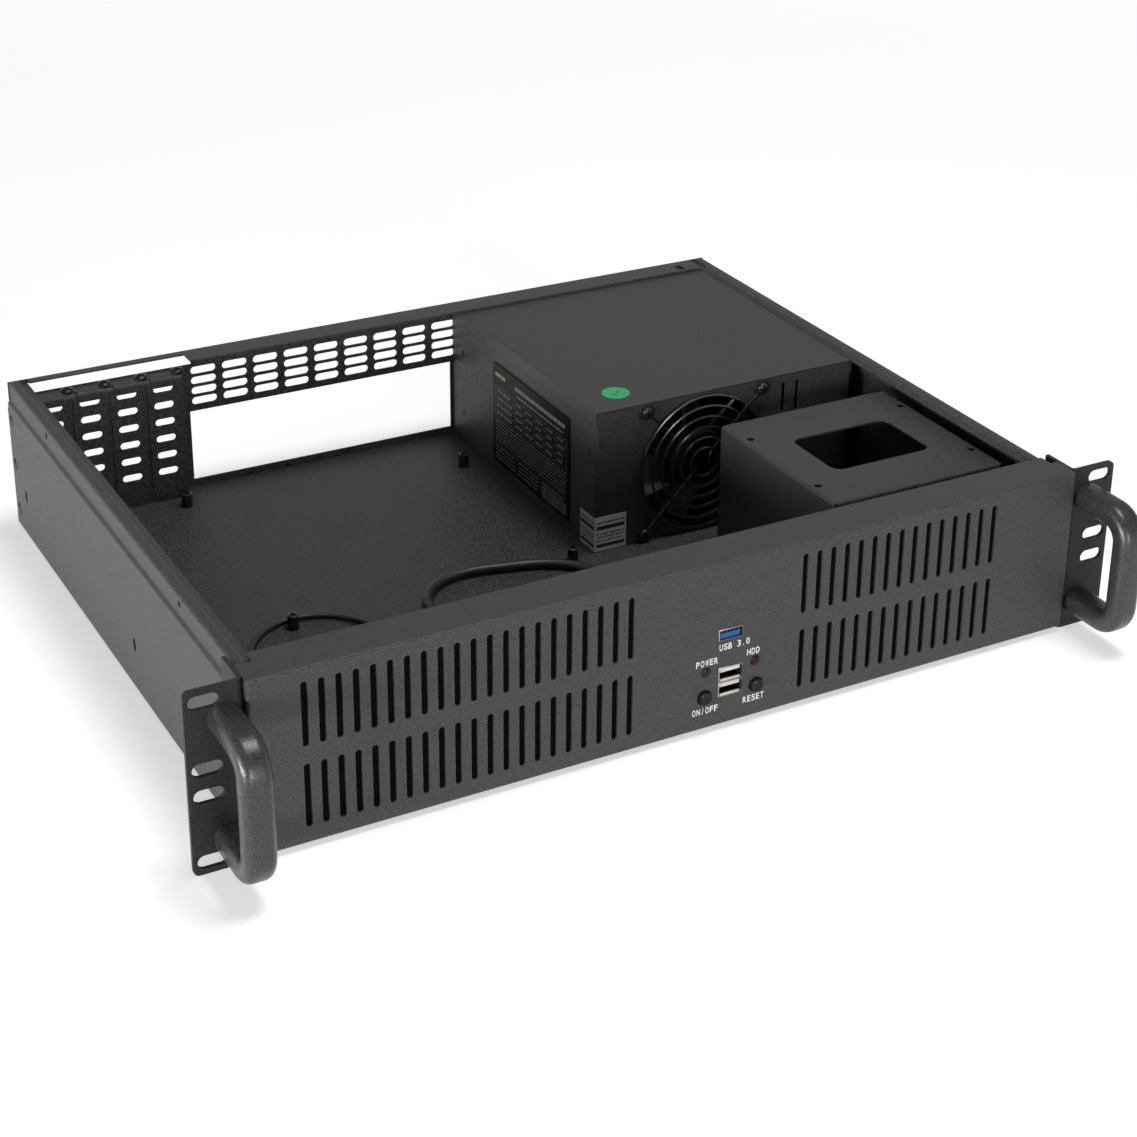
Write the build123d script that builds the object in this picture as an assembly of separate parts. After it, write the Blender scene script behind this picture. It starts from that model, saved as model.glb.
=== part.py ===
from build123d import *
from math import cos, radians, sin, tan
import os

# Empty 2U rackmount server case with its power supply and drive cage, lid off, in millimetres.
# X runs to the right as the front is seen, Y to the back, Z up.
# The sub-parts are modelled with the front faces of the rack ears at Y = 0 and the ears' lower
# edges at Z = 0. The export moves them so that the origin lies under the middle of the whole.

# Rack ears, 19 inch rack, two units
RACK_WIDTH = 482.6
EAR_WIDTH = 26.3
EAR_HEIGHT = 88.1
EAR_SHEET = 2.0
EAR_DEPTH = 21.0
EAR_CORNER = 3.0
RACK_SLOT_EDGE = 8.75
RACK_SLOT_LENGTH = 13.5
RACK_SLOT_WIDTH = 6.5
RACK_SLOT_OUTER = 38.1
RACK_SLOT_INNER = 6.35

# Folded body
BODY_DEPTH = 350.0
BODY_BOTTOM = 2.6
BODY_HEIGHT = 83.4
SHEET = 1.0
BEND = 1.5
LAP = 0.3
JOGGLE = 1.5
JOGGLE_HEIGHT = 72.4
RAIL_WIDTH = 10.8
RIDGE_WIDTH = 4.6
RAIL_STEP = 1.6
WALL_HOLE_LENGTH = 7.0
WALL_HOLE_WIDTH = 3.6
WALL_HOLE_HEIGHT = 25.4
WALL_HOLE_BACKS = (200.0, 22.0)
STRIP_HOLE_RADIUS = 1.6
STRIP_HOLE_DROP = 4.2
STRIP_HOLE_BACKS = (267.0, 68.0)

# Front panel
PANEL_SHEET = 1.2
PANEL_REACH = 3.0
PANEL_DEPTH = 12.0
PANEL_EDGE = 1.6
PANEL_FLANGE = 19.5
FLANGE_NOTCH = 4.0
VENT_LENGTH = 31.0
VENT_WIDTH = 3.0
VENT_PITCH = 7.76
VENT_ROWS = (26.5, 66.0)
LEFT_VENT_COUNT = 21
LEFT_VENT_EDGE = 24.5
RIGHT_VENT_COUNT = 15
RIGHT_VENT_START = 56.9

# Controls on the front panel
BUTTON_RADIUS = 3.4
BUTTON_GAP = 0.5
BUTTON_PROUD = 0.4
BUTTON_LENGTH = 6.0
BUTTON_TRAVEL = 1.5
STEM_RADIUS = 1.5
STEM_LENGTH = 6.0
SWITCH_SIZE = 8.0
SWITCH_DEPTH = 6.0
FIT_GAP = 0.3
POWER_BUTTON = (4.3, 19.6)
RESET_BUTTON = (32.2, 19.3)
LED_RADIUS = 2.5
LED_PROUD = 1.2
LED_FLANGE = 3.0
POWER_LED = (4.8, 32.8)
HDD_LED = (31.3, 32.3)
USB3_PLACE = (17.4, 50.2)
USB3_WIDTH = 13.1
USB3_HEIGHT = 5.7
USB2_PLACE = (18.0, 25.4)
USB2_WIDTH = 13.1
USB2_HEIGHT = 15.4
PORT_PROUD = 0.4
PORT_WALL = 0.4
TONGUE_THICK = 1.9
TONGUE_SIDE = 1.0
BOARD_DISTANCE = 16.0
BOARD_SHEET = 1.6
BOARD_CENTRE = (18.2, 32.0)
BOARD_WIDTH = 54.0
BOARD_HEIGHT = 50.0
BOARD_POST_RADIUS = 2.5
BOARD_POST_INSET = 4.0

# Bow handles
HANDLE_EDGE = 16.8
HANDLE_REACH = 40.0
HANDLE_SPACING = 58.0
HANDLE_CENTRE = 44.0
HANDLE_WIDTH = 14.0
HANDLE_THICK = 12.0
HANDLE_ROUND = 4.5
HANDLE_BEND = 12.0

# Rear panel, expansion slots and the opening for the board's sockets
REAR_FLANGE = 16.0
REAR_STRIP = 6.0
REAR_SIDE_FLANGE = 11.0
REAR_RELIEF = 1.5
REAR_VENT_LENGTH = 14.5
REAR_VENT_WIDTH = 4.5
REAR_VENT_EDGE = 8.8
REAR_VENT_PITCH = 18.17
REAR_VENT_COLUMNS = 9
REAR_VENT_ROWS = 4
REAR_VENT_ROW_PITCH = 6.03
REAR_VENT_TOP = 73.0
IO_PSU_GAP = 0.75
IO_WIDTH = 158.75
IO_HEIGHT = 41.45
IO_SILL = 4.0
SLOT_PITCH = 20.32
SLOT_IO_GAP = 7.78
SLOT_WALL_GAP = 10.0
SLOT_OPENING = 14.0
COVER_WIDTH = 18.4
COVER_SHEET = 0.8
COVER_NECK = 13.0
COVER_HOLE_LENGTH = 11.0
COVER_HOLE_WIDTH = 4.0
COVER_HOLE_ROWS = 6
COVER_HOLE_PITCH = 9.83
COVER_HOLE_TOP = 70.6
LEDGE_HEIGHT = 72.4
RECESS = 10.0
FRAME_LIP = 6.0
FRAME_SIDE = 3.0
TAB_SCREW_BACK = 5.0
WINDOW_GAP = 4.38
REAR_NOTCH_WALL = 23.0
REAR_NOTCH_WIDTH = 4.0
REAR_NOTCH_DEPTH = 7.0
SIDE_RIVET_HEIGHTS = (13.4, 39.4, 64.4)
SIDE_RIVET_BACK = 5.0

# Board standoffs, the pattern of a small square board
STANDOFF_IO = 12.24
STANDOFF_WIDE = 157.48
STANDOFF_DEEP = 154.94
STANDOFF_SHIFT = 22.86
STANDOFF_BACK = 22.4
STANDOFF_FLATS = 5.5
STANDOFF_HEIGHT = 8.0
STANDOFF_BORE = 1.3

# Drive cage
CAGE_WALL_GAP = 10.0
CAGE_WIDTH = 103.6
CAGE_FRONT = 40.0
CAGE_PSU_GAP = 30.5
CAGE_HEIGHT = 74.4
CAGE_FOOT = 12.0
CAGE_LIP = 8.0
CAGE_WINDOW_WIDTH = 59.0
CAGE_WINDOW_DEPTH = 41.5
CAGE_WINDOW_ROUND = 6.0
CAGE_HOLES_WIDE = 94.0
CAGE_HOLES_DEEP = 62.0
CAGE_HOLE_RADIUS = 2.0

# Power supply
PSU_WIDTH = 160.0
PSU_DEPTH = 175.0
PSU_SHEET = 0.6
PSU_LIP = 8.0
PSU_GAP = 0.3
PSU_CORNER = 1.0
PSU_MARGIN = 10.0
PSU_TOP_MARGIN = 9.0
PSU_SCREW_INSET = 5.0
PSU_SLOT_LENGTH = 17.0
PSU_SLOT_WIDTH = 2.2
PSU_SLOTS_X = (115.6, 124.3)
PSU_SLOT_TOP = 5.0
SIDE_SLOT_LENGTH = 4.0
SIDE_SLOT_WIDTH = 1.2
SIDE_SLOTS = ((8.0, 56.0), (160.0, 56.0), (160.0, 18.0))
PSU_VENT_LENGTH = 34.0
PSU_VENT_WIDTH = 3.0
PSU_VENT_PITCH = 6.0
PSU_VENT_COUNT = 10
INLET_WIDTH = 27.5
INLET_HEIGHT = 20.0
INLET_FLANGE_WIDTH = 44.0
INLET_FLANGE_HEIGHT = 24.0
INLET_FLANGE_THICK = 1.2
INLET_DEPTH = 16.0
INLET_X = 34.0
INLET_Z = 50.0
ROCKER_Z = 22.0
ROCKER_WIDTH = 18.0
ROCKER_HEIGHT = 12.0
ROCKER_ANGLE = 7.0

# Fan of the power supply
FAN_SIZE = 79.6
FAN_DEPTH = 25.0
FAN_OFFSET = 65.4
FAN_BORE = 38.2
FAN_CORNER = 4.0
FAN_HOLE_SPACING = 71.5
FAN_HOLE_RADIUS = 2.2
FAN_HUB = 17.0
FAN_TIP_GAP = 1.2
BLADE_COUNT = 7
BLADE_PITCH = 38.0
BLADE_CHORD = 24.0
BLADE_THICK = 1.3
BLADE_CAMBER = 24.0
STRUT_THICK = 3.0
STRUT_WIDTH = 4.0
AXLE_RADIUS = 1.5
GUARD_WIRE = 0.8
GUARD_RINGS = (38.3, 32.3, 26.3, 20.3, 14.3, 8.3)
GUARD_EYE = 3.2

# Screws and rivets
SCREW_RADIUS = 1.4
SCREW_HEAD_RADIUS = 3.2
SCREW_HEAD = 2.0
SCREW_GAP = 0.2
HANDLE_SCREW_RADIUS = 2.0
HANDLE_SCREW_HEAD = 3.6
RIVET_RADIUS = 1.6
RIVET_HEAD_RADIUS = 2.6
RIVET_HEAD = 0.8
EAR_SCREW_HEIGHTS = (16.0, 38.0, 60.0)
EAR_SCREW_BACK = 17.0

# Leads on the floor
BUNDLE_RADIUS = 2.6
LEAD_RADIUS = 1.5
CORD_GAP = 0.3
BUNDLE_PLUG = (11.0, 15.0)
LEAD_PLUG = (6.0, 14.0)
SOCKET_SIZE = (12.0, 7.0, 8.0)
SOCKET_PLACES = ((24.0, 40.0), (-1.0, 44.0))

# Sizes that follow from the ones above
BODY_WIDTH = RACK_WIDTH - 2 * EAR_WIDTH
WALL = BODY_WIDTH / 2
FLOOR = BODY_BOTTOM + SHEET
BODY_TOP = BODY_BOTTOM + BODY_HEIGHT
MIDDLE = EAR_HEIGHT / 2
RAIL_EDGE = WALL - RAIL_WIDTH
PAN_FRONT = PANEL_DEPTH + LAP
REAR_INSIDE = BODY_DEPTH - SHEET
REAR_TOP = BODY_TOP
FLANGE_UNDER = BODY_TOP - SHEET
FLANGE_SIDE = RAIL_EDGE - LAP
LEDGE_TOP = FLOOR + LEDGE_HEIGHT
RECESS_BACK = REAR_INSIDE - RECESS + SHEET
COVER_BACK = RECESS_BACK - SHEET
TAB_SCREW_Y = REAR_INSIDE - TAB_SCREW_BACK
PANEL_INSIDE = PANEL_SHEET - PANEL_REACH
BOARD_FRONT = PANEL_INSIDE + BOARD_DISTANCE
PSU_RIGHT = RAIL_EDGE - PSU_GAP
PSU_LEFT = PSU_RIGHT - PSU_WIDTH
IO_LEFT = PSU_LEFT - IO_PSU_GAP - IO_WIDTH
SLOT_AREA_RIGHT = IO_LEFT - SLOT_IO_GAP
SLOT_COUNT = int((SLOT_AREA_RIGHT + WALL - SLOT_WALL_GAP) / SLOT_PITCH)
SLOT_AREA_LEFT = SLOT_AREA_RIGHT - SLOT_PITCH * SLOT_COUNT
SLOT_XS = [SLOT_AREA_LEFT + SLOT_PITCH * (i + 0.5) for i in range(SLOT_COUNT)]
TAB_SCREW_XS = [SLOT_AREA_LEFT + SLOT_PITCH * i for i in range(SLOT_COUNT + 1)]
REAR_VENT_START = IO_LEFT + REAR_VENT_EDGE
WINDOW_RIGHT = SLOT_AREA_RIGHT + WINDOW_GAP
REAR_NOTCH_X = WALL - REAR_NOTCH_WALL
LEFT_VENT_START = LEFT_VENT_EDGE - WALL
RACK_SLOT_SPACING = RACK_WIDTH - 2 * RACK_SLOT_EDGE
HANDLE_OFFSET = RACK_WIDTH / 2 - HANDLE_EDGE
WALL_HOLE_PLACES = [BODY_DEPTH - back for back in WALL_HOLE_BACKS]
STRIP_HOLE_PLACES = [BODY_DEPTH - back for back in STRIP_HOLE_BACKS]
PSU_BACK = REAR_INSIDE
PSU_FRONT = PSU_BACK - PSU_DEPTH
PSU_TOP = FLANGE_UNDER - PSU_GAP
FAN_X = PSU_LEFT + FAN_OFFSET
FAN_Z = (FLOOR + PSU_TOP) / 2
FAN_FRONT = PSU_FRONT + PSU_SHEET
CAGE_TOP = FLOOR + CAGE_HEIGHT
CAGE_LEFT = WALL - CAGE_WALL_GAP - CAGE_WIDTH
CAGE_DEPTH = PSU_FRONT - CAGE_PSU_GAP - CAGE_FRONT
CAGE_X = CAGE_LEFT + CAGE_WIDTH / 2
CAGE_Y = CAGE_FRONT + CAGE_DEPTH / 2
CAGE_FOOT_XS = (CAGE_LEFT + CAGE_FOOT / 2, CAGE_LEFT + CAGE_WIDTH - CAGE_FOOT / 2)
CAGE_FOOT_YS = (CAGE_FRONT + CAGE_DEPTH * 0.15, CAGE_FRONT + CAGE_DEPTH * 0.85)
STANDOFF_REAR = REAR_INSIDE - STANDOFF_BACK
STANDOFF_X = IO_LEFT - STANDOFF_IO
STANDOFF_PLACES = (
    (STANDOFF_X, STANDOFF_REAR),
    (STANDOFF_X + STANDOFF_WIDE, STANDOFF_REAR - STANDOFF_SHIFT),
    (STANDOFF_X, STANDOFF_REAR - STANDOFF_DEEP),
    (STANDOFF_X + STANDOFF_WIDE, STANDOFF_REAR - STANDOFF_DEEP),
)
HANDLE_LEGS = (HANDLE_CENTRE - HANDLE_SPACING / 2, HANDLE_CENTRE + HANDLE_SPACING / 2)
PSU_SCREWS = [
    (x, z)
    for x in (PSU_LEFT + PSU_SCREW_INSET, PSU_RIGHT - PSU_SCREW_INSET)
    for z in (FLOOR + PSU_SCREW_INSET, PSU_TOP - PSU_SCREW_INSET)
]
FAN_SCREWS = [
    (FAN_X + i * FAN_HOLE_SPACING / 2, FAN_Z + k * FAN_HOLE_SPACING / 2)
    for i in (-1, 1)
    for k in (-1, 1)
]
CENTRE_Y = (BODY_DEPTH + SCREW_HEAD - HANDLE_REACH) / 2


def span(x0, x1, y0, y1, z0, z1):
    """A block between two corners."""
    middle = Pos((x0 + x1) / 2, (y0 + y1) / 2, (z0 + z1) / 2)
    return middle * Box(abs(x1 - x0), abs(y1 - y0), abs(z1 - z0))


def rod_y(x, z, y0, y1, radius):
    """A round bar along Y."""
    return Pos(x, (y0 + y1) / 2, z) * Rot(90, 0, 0) * Cylinder(radius, abs(y1 - y0))


def rod_x(y, z, x0, x1, radius):
    """A round bar along X."""
    return Pos((x0 + x1) / 2, y, z) * Rot(0, 90, 0) * Cylinder(radius, abs(x1 - x0))


def rod_z(x, y, z0, z1, radius):
    """An upright round bar."""
    return Pos(x, y, (z0 + z1) / 2) * Cylinder(radius, abs(z1 - z0))


def folded_x(points, radii, thick, x0, x1):
    """Sheet folded along a section in the YZ plane, from x0 to x1."""
    line = FilletPolyline(*points, radius=radii) if radii else Line(*points)
    section = trace(line, line_width=thick)
    return Pos(x0, 0, 0) * extrude(Plane.YZ * section, x1 - x0)


def folded_y(points, radii, thick, y0, y1):
    """Sheet folded along a section in the XZ plane, from y0 to y1."""
    line = FilletPolyline(*points, radius=radii)
    section = trace(line, line_width=thick)
    return Pos(0, y1, 0) * extrude(Plane.XZ * section, y1 - y0)


def cut_slots(plane, places, length, width, turn, depth):
    """Round-ended holes through a sheet, on a plane at the given places."""
    shape = SlotOverall(length, width, rotation=turn)
    holes = Sketch() + [Pos(u, v) * shape for u, v in places]
    return extrude(plane * holes, depth, both=True)


def screw_up(x, y, seat, length, radius=SCREW_RADIUS, head=SCREW_HEAD_RADIUS):
    """A screw that points down, with its head on the seat."""
    cap = rod_z(x, y, seat, seat + SCREW_HEAD, head)
    cap = chamfer(cap.edges().group_by(Axis.Z)[-1], SCREW_HEAD * 0.35)
    return cap + rod_z(x, y, seat - length, seat, radius)


def body_pan():
    """Floor, side walls with their joggled upper strips, and the stepped rails, in one sheet."""
    half = SHEET / 2
    wall = WALL - half
    strip = wall - JOGGLE
    joggle = BODY_BOTTOM + JOGGLE_HEIGHT
    top = BODY_TOP - half
    right = [
        (wall, BODY_BOTTOM + half),
        (wall, joggle - JOGGLE / 2),
        (strip, joggle + JOGGLE / 2),
        (strip, top),
        (WALL - JOGGLE - RIDGE_WIDTH, top),
        (WALL - JOGGLE - RIDGE_WIDTH - RAIL_STEP * 0.7, top - RAIL_STEP),
        (RAIL_EDGE, top - RAIL_STEP),
    ]
    left = [(-x, z) for x, z in reversed(right)]
    bends = [BEND, 0.8, 0.8, 1.1, 0.8, 0.8]
    pan = folded_y(left + right, bends[::-1] + bends, SHEET, PAN_FRONT, BODY_DEPTH)
    for side in (-1, 1):
        upper = span(side * (RAIL_EDGE - 5), side * (WALL + 1), REAR_INSIDE - LAP, BODY_DEPTH + 1,
                     joggle - 4, BODY_TOP + 1)
        pan -= upper
        for y in WALL_HOLE_PLACES:
            hole = SlotOverall(WALL_HOLE_LENGTH, WALL_HOLE_WIDTH, rotation=90)
            pan -= Pos(side * WALL, 0, 0) * extrude(
                Plane.YZ * Pos(y, BODY_BOTTOM + WALL_HOLE_HEIGHT) * hole, 3, both=True)
        for y in STRIP_HOLE_PLACES:
            pan -= rod_x(y, BODY_TOP - STRIP_HOLE_DROP, side * (WALL - 5), side * (WALL + 1),
                         STRIP_HOLE_RADIUS)
        for z in SIDE_RIVET_HEIGHTS:
            pan -= rod_x(BODY_DEPTH - SIDE_RIVET_BACK, BODY_BOTTOM + z, side * (WALL - 3),
                         side * (WALL + 1), RIVET_RADIUS + SCREW_GAP / 2)
        for z in EAR_SCREW_HEIGHTS:
            pan -= rod_x(EAR_SCREW_BACK, z, side * (WALL - 3), side * (WALL + 1),
                         SCREW_RADIUS + SCREW_GAP)
    for x in CAGE_FOOT_XS:
        for y in CAGE_FOOT_YS:
            pan -= rod_z(x, y, BODY_BOTTOM - 1, FLOOR + 1, SCREW_RADIUS + SCREW_GAP)
    return pan


def rear_panel():
    """Rear wall with vents, the openings for slots, sockets and power supply, and its flanges."""
    half = SHEET / 2
    points = [
        (BODY_DEPTH - half, FLOOR),
        (BODY_DEPTH - half, REAR_TOP - half),
        (BODY_DEPTH - REAR_FLANGE, REAR_TOP - half),
    ]
    inner = WALL - SHEET
    panel = folded_x(points, [BEND - 0.3], SHEET, -inner, inner)
    joggle = BODY_BOTTOM + JOGGLE_HEIGHT
    for side in (-1, 1):
        panel -= span(side * FLANGE_SIDE, side * (WALL + 1), BODY_DEPTH - REAR_FLANGE - 1,
                      REAR_INSIDE, joggle - 2, BODY_TOP + 1)
        flange = span(side * (inner - SHEET), side * inner, REAR_INSIDE - REAR_SIDE_FLANGE,
                      REAR_INSIDE + half, FLOOR + 2, joggle - 6)
        panel += flange
        panel -= span(side * (inner - REAR_RELIEF), side * (WALL + 1), REAR_INSIDE - 1,
                      BODY_DEPTH + 1, FLOOR - 1, FLOOR + REAR_RELIEF)
        for z in SIDE_RIVET_HEIGHTS:
            panel -= rod_x(BODY_DEPTH - SIDE_RIVET_BACK, BODY_BOTTOM + z, side * (WALL - 4),
                           side * (WALL + 1), RIVET_RADIUS + SCREW_GAP / 2)
    panel -= span(-WALL, WINDOW_RIGHT, BODY_DEPTH - REAR_FLANGE - 1, BODY_DEPTH - REAR_STRIP,
                  FLANGE_UNDER - 2, BODY_TOP + 1)
    panel -= span(SLOT_AREA_LEFT, SLOT_AREA_RIGHT, REAR_INSIDE - 2, BODY_DEPTH + 1,
                  FLOOR + IO_SILL, LEDGE_TOP - SHEET - FRAME_LIP / 2)
    panel -= span(IO_LEFT, IO_LEFT + IO_WIDTH, REAR_INSIDE - 2, BODY_DEPTH + 1,
                  FLOOR + IO_SILL, FLOOR + IO_SILL + IO_HEIGHT)
    panel -= span(PSU_LEFT + PSU_MARGIN, PSU_RIGHT - PSU_MARGIN, REAR_INSIDE - 2, BODY_DEPTH + 1,
                  FLOOR + PSU_MARGIN, PSU_TOP - PSU_TOP_MARGIN)
    vents = [
        (REAR_VENT_START + REAR_VENT_PITCH * i, REAR_VENT_TOP - REAR_VENT_ROW_PITCH * k)
        for i in range(REAR_VENT_COLUMNS)
        for k in range(REAR_VENT_ROWS)
    ]
    back = Plane((0, BODY_DEPTH, 0), x_dir=(1, 0, 0), z_dir=(0, -1, 0))
    panel -= cut_slots(back, vents, REAR_VENT_LENGTH, REAR_VENT_WIDTH, 0, 3)
    panel -= span(REAR_NOTCH_X - REAR_NOTCH_WIDTH / 2, REAR_NOTCH_X + REAR_NOTCH_WIDTH / 2,
                  BODY_DEPTH - REAR_FLANGE + 2, BODY_DEPTH - REAR_FLANGE + 2 + REAR_NOTCH_DEPTH,
                  FLANGE_UNDER - 1, BODY_TOP + 1)
    for x, z in PSU_SCREWS:
        panel -= rod_y(x, z, REAR_INSIDE - 1, BODY_DEPTH + 1, SCREW_RADIUS + SCREW_GAP)
    return panel


def slot_frame():
    """Bent bracket inside the rear panel: ledge for the cover tabs and a wall with four slots."""
    half = SHEET / 2
    points = [
        (REAR_INSIDE - half, LEDGE_TOP - SHEET - FRAME_LIP),
        (REAR_INSIDE - half, LEDGE_TOP - half),
        (RECESS_BACK - half, LEDGE_TOP - half),
        (RECESS_BACK - half, FLOOR),
    ]
    left = SLOT_AREA_LEFT - FRAME_SIDE
    frame = folded_x(points, [BEND, BEND], SHEET, left, SLOT_AREA_RIGHT + FRAME_SIDE / 2)
    for x in SLOT_XS:
        frame -= span(x - SLOT_OPENING / 2, x + SLOT_OPENING / 2, RECESS_BACK - SHEET - 1,
                      RECESS_BACK + 1, FLOOR + 4, LEDGE_TOP - 5)
    for x in TAB_SCREW_XS:
        frame -= rod_z(x, TAB_SCREW_Y, LEDGE_TOP - SHEET - 1, LEDGE_TOP + 1,
                       SCREW_RADIUS + SCREW_GAP)
    return frame


def slot_cover(x):
    """Perforated slot cover: plate, narrow neck over the ledge, notched tab and bottom tongue."""
    half = COVER_SHEET / 2
    points = [
        (COVER_BACK - half, FLOOR + LAP),
        (COVER_BACK - half, LEDGE_TOP + half),
        (REAR_INSIDE - LAP, LEDGE_TOP + half),
    ]
    width = COVER_WIDTH / 2
    cover = folded_x(points, [BEND], COVER_SHEET, x - width, x + width)
    for side in (-1, 1):
        cover -= span(x + side * COVER_NECK / 2, x + side * (width + 1), COVER_BACK - 4,
                      COVER_BACK + 2, LEDGE_TOP - 3, LEDGE_TOP + 3)
        cover -= rod_z(x + side * SLOT_PITCH / 2, TAB_SCREW_Y, LEDGE_TOP - 1, LEDGE_TOP + 2,
                       SCREW_RADIUS + SCREW_GAP + 0.4)
        cover -= span(x + side * COVER_NECK * 0.4, x + side * (width + 1), COVER_BACK - 4,
                      COVER_BACK + 2, FLOOR - 1, FLOOR + 5)
    rows = [(x, COVER_HOLE_TOP - COVER_HOLE_PITCH * k) for k in range(COVER_HOLE_ROWS)]
    face = Plane((0, COVER_BACK, 0), x_dir=(1, 0, 0), z_dir=(0, -1, 0))
    return cover - cut_slots(face, rows, COVER_HOLE_LENGTH, COVER_HOLE_WIDTH, 0, 3)


def slot_screws():
    """The row of screws that clamp the cover tabs to the ledge."""
    return [screw_up(x, TAB_SCREW_Y, LEDGE_TOP + COVER_SHEET, 5) for x in TAB_SCREW_XS]


def side_rivets():
    """Blind rivets that join the side walls to the flanges of the rear panel."""
    rivets = []
    for side in (-1, 1):
        for z in SIDE_RIVET_HEIGHTS:
            y = BODY_DEPTH - SIDE_RIVET_BACK
            height = BODY_BOTTOM + z
            head = Pos(side * WALL, y, height) * Rot(0, side * 90, 0) * Cone(
                RIVET_HEAD_RADIUS, RIVET_HEAD_RADIUS * 0.6, RIVET_HEAD,
                align=(Align.CENTER, Align.CENTER, Align.MIN))
            rivets.append(head + rod_x(y, height, side * (WALL - 3), side * WALL, RIVET_RADIUS))
    return rivets


def standoffs():
    """Four hexagonal standoffs with their threaded bores."""
    posts = []
    for x, y in STANDOFF_PLACES:
        hexagon = RegularPolygon(STANDOFF_FLATS / 2, 6, major_radius=False)
        post = Pos(x, y, FLOOR) * extrude(hexagon, STANDOFF_HEIGHT)
        posts.append(post - rod_z(x, y, FLOOR + 2, FLOOR + STANDOFF_HEIGHT + 1, STANDOFF_BORE))
    return posts


def front_panel():
    """Front panel folded like a shallow tray, with vents, control holes and a long top flange."""
    depth = PANEL_REACH + PANEL_DEPTH
    height = EAR_HEIGHT - BODY_BOTTOM
    tray = span(-WALL, WALL, -PANEL_REACH, PANEL_DEPTH, BODY_BOTTOM, EAR_HEIGHT)
    front_edges = tray.faces().sort_by(Axis.Y)[0].edges()
    tray = fillet(front_edges, PANEL_EDGE)
    inside = Box(BODY_WIDTH - 2 * PANEL_SHEET, depth, height - 2 * PANEL_SHEET)
    tray -= Pos(0, PANEL_INSIDE + depth / 2, BODY_BOTTOM + height / 2) * inside
    tray += span(-WALL + 2 * FLANGE_NOTCH, WALL - FLANGE_NOTCH, PANEL_DEPTH - 1, PANEL_FLANGE,
                 EAR_HEIGHT - PANEL_SHEET, EAR_HEIGHT)
    places = [
        (start + VENT_PITCH * i, row)
        for start, count in ((LEFT_VENT_START, LEFT_VENT_COUNT), (RIGHT_VENT_START, RIGHT_VENT_COUNT))
        for i in range(count)
        for row in VENT_ROWS
    ]
    face = Plane((0, -PANEL_REACH, 0), x_dir=(1, 0, 0), z_dir=(0, -1, 0))
    tray -= cut_slots(face, places, VENT_LENGTH, VENT_WIDTH, 90, 3)
    for x, z in (POWER_BUTTON, RESET_BUTTON):
        tray -= rod_y(x, z, -PANEL_REACH - 1, PANEL_INSIDE + 1, BUTTON_RADIUS + BUTTON_GAP)
    for x, z in (POWER_LED, HDD_LED):
        tray -= rod_y(x, z, -PANEL_REACH - 1, PANEL_INSIDE + 1, LED_RADIUS + SCREW_GAP / 2)
    for (x, z), width, tall in (
        (USB3_PLACE, USB3_WIDTH, USB3_HEIGHT),
        (USB2_PLACE, USB2_WIDTH, USB2_HEIGHT),
    ):
        gap = SCREW_GAP / 2
        tray -= span(x - width / 2 - gap, x + width / 2 + gap, -PANEL_REACH - 1, PANEL_INSIDE + 1,
                     z - tall / 2 - gap, z + tall / 2 + gap)
    return tray


def rack_ear(side):
    """L-shaped rack ear: slotted front flange and a side flange on the body wall."""
    points = [
        (side * RACK_WIDTH / 2, EAR_SHEET / 2),
        (side * (WALL + EAR_SHEET / 2), EAR_SHEET / 2),
        (side * (WALL + EAR_SHEET / 2), EAR_DEPTH),
    ]
    section = trace(FilletPolyline(*points, radius=[BEND + EAR_SHEET / 2]), line_width=EAR_SHEET)
    ear = extrude(section, EAR_HEIGHT)
    outer = ear.edges().filter_by(Axis.Y).filter_by(lambda e: abs(e.center().X) > RACK_WIDTH / 2 - 0.1)
    ear = fillet(outer, EAR_CORNER)
    centre = side * RACK_SLOT_SPACING / 2
    places = [
        (centre, MIDDLE + rise)
        for rise in (-RACK_SLOT_OUTER, -RACK_SLOT_INNER, RACK_SLOT_INNER, RACK_SLOT_OUTER)
    ]
    face = Plane((0, 0, 0), x_dir=(1, 0, 0), z_dir=(0, -1, 0))
    ear -= cut_slots(face, places, RACK_SLOT_LENGTH, RACK_SLOT_WIDTH, 0, EAR_SHEET + 1)
    for z in HANDLE_LEGS:
        ear -= rod_y(side * HANDLE_OFFSET, z, -1, EAR_SHEET + 1, HANDLE_SCREW_RADIUS + SCREW_GAP)
    for z in EAR_SCREW_HEIGHTS:
        ear -= rod_x(EAR_SCREW_BACK, z, side * (WALL - 1), side * (WALL + EAR_SHEET + 1),
                     SCREW_RADIUS + SCREW_GAP)
    return ear


def ear_screws():
    """Screws through the ears' side flanges into the body walls."""
    screws = []
    for side in (-1, 1):
        for z in EAR_SCREW_HEIGHTS:
            seat = WALL + EAR_SHEET
            head = rod_x(EAR_SCREW_BACK, z, side * seat, side * (seat + SCREW_HEAD), SCREW_HEAD_RADIUS)
            screws.append(head + rod_x(EAR_SCREW_BACK, z, side * (WALL - 4), side * seat, SCREW_RADIUS))
    return screws


def bow_handle(side):
    """Bow handle swept from a rounded section, with a blind screw hole in each leg."""
    reach = HANDLE_REACH - HANDLE_THICK / 2
    low, high = HANDLE_LEGS
    path = FilletPolyline((0, low), (-reach, low), (-reach, high), (0, high), radius=HANDLE_BEND)
    section = Plane.XZ * RectangleRounded(HANDLE_WIDTH, HANDLE_THICK, HANDLE_ROUND)
    bow = sweep(Pos(0, 0, low) * section, Plane.YZ * path)
    bow = Pos(side * HANDLE_OFFSET, 0, 0) * bow
    for z in HANDLE_LEGS:
        bow -= rod_y(side * HANDLE_OFFSET, z, -HANDLE_REACH / 2, 1, HANDLE_SCREW_RADIUS + SCREW_GAP)
    return bow


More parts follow.
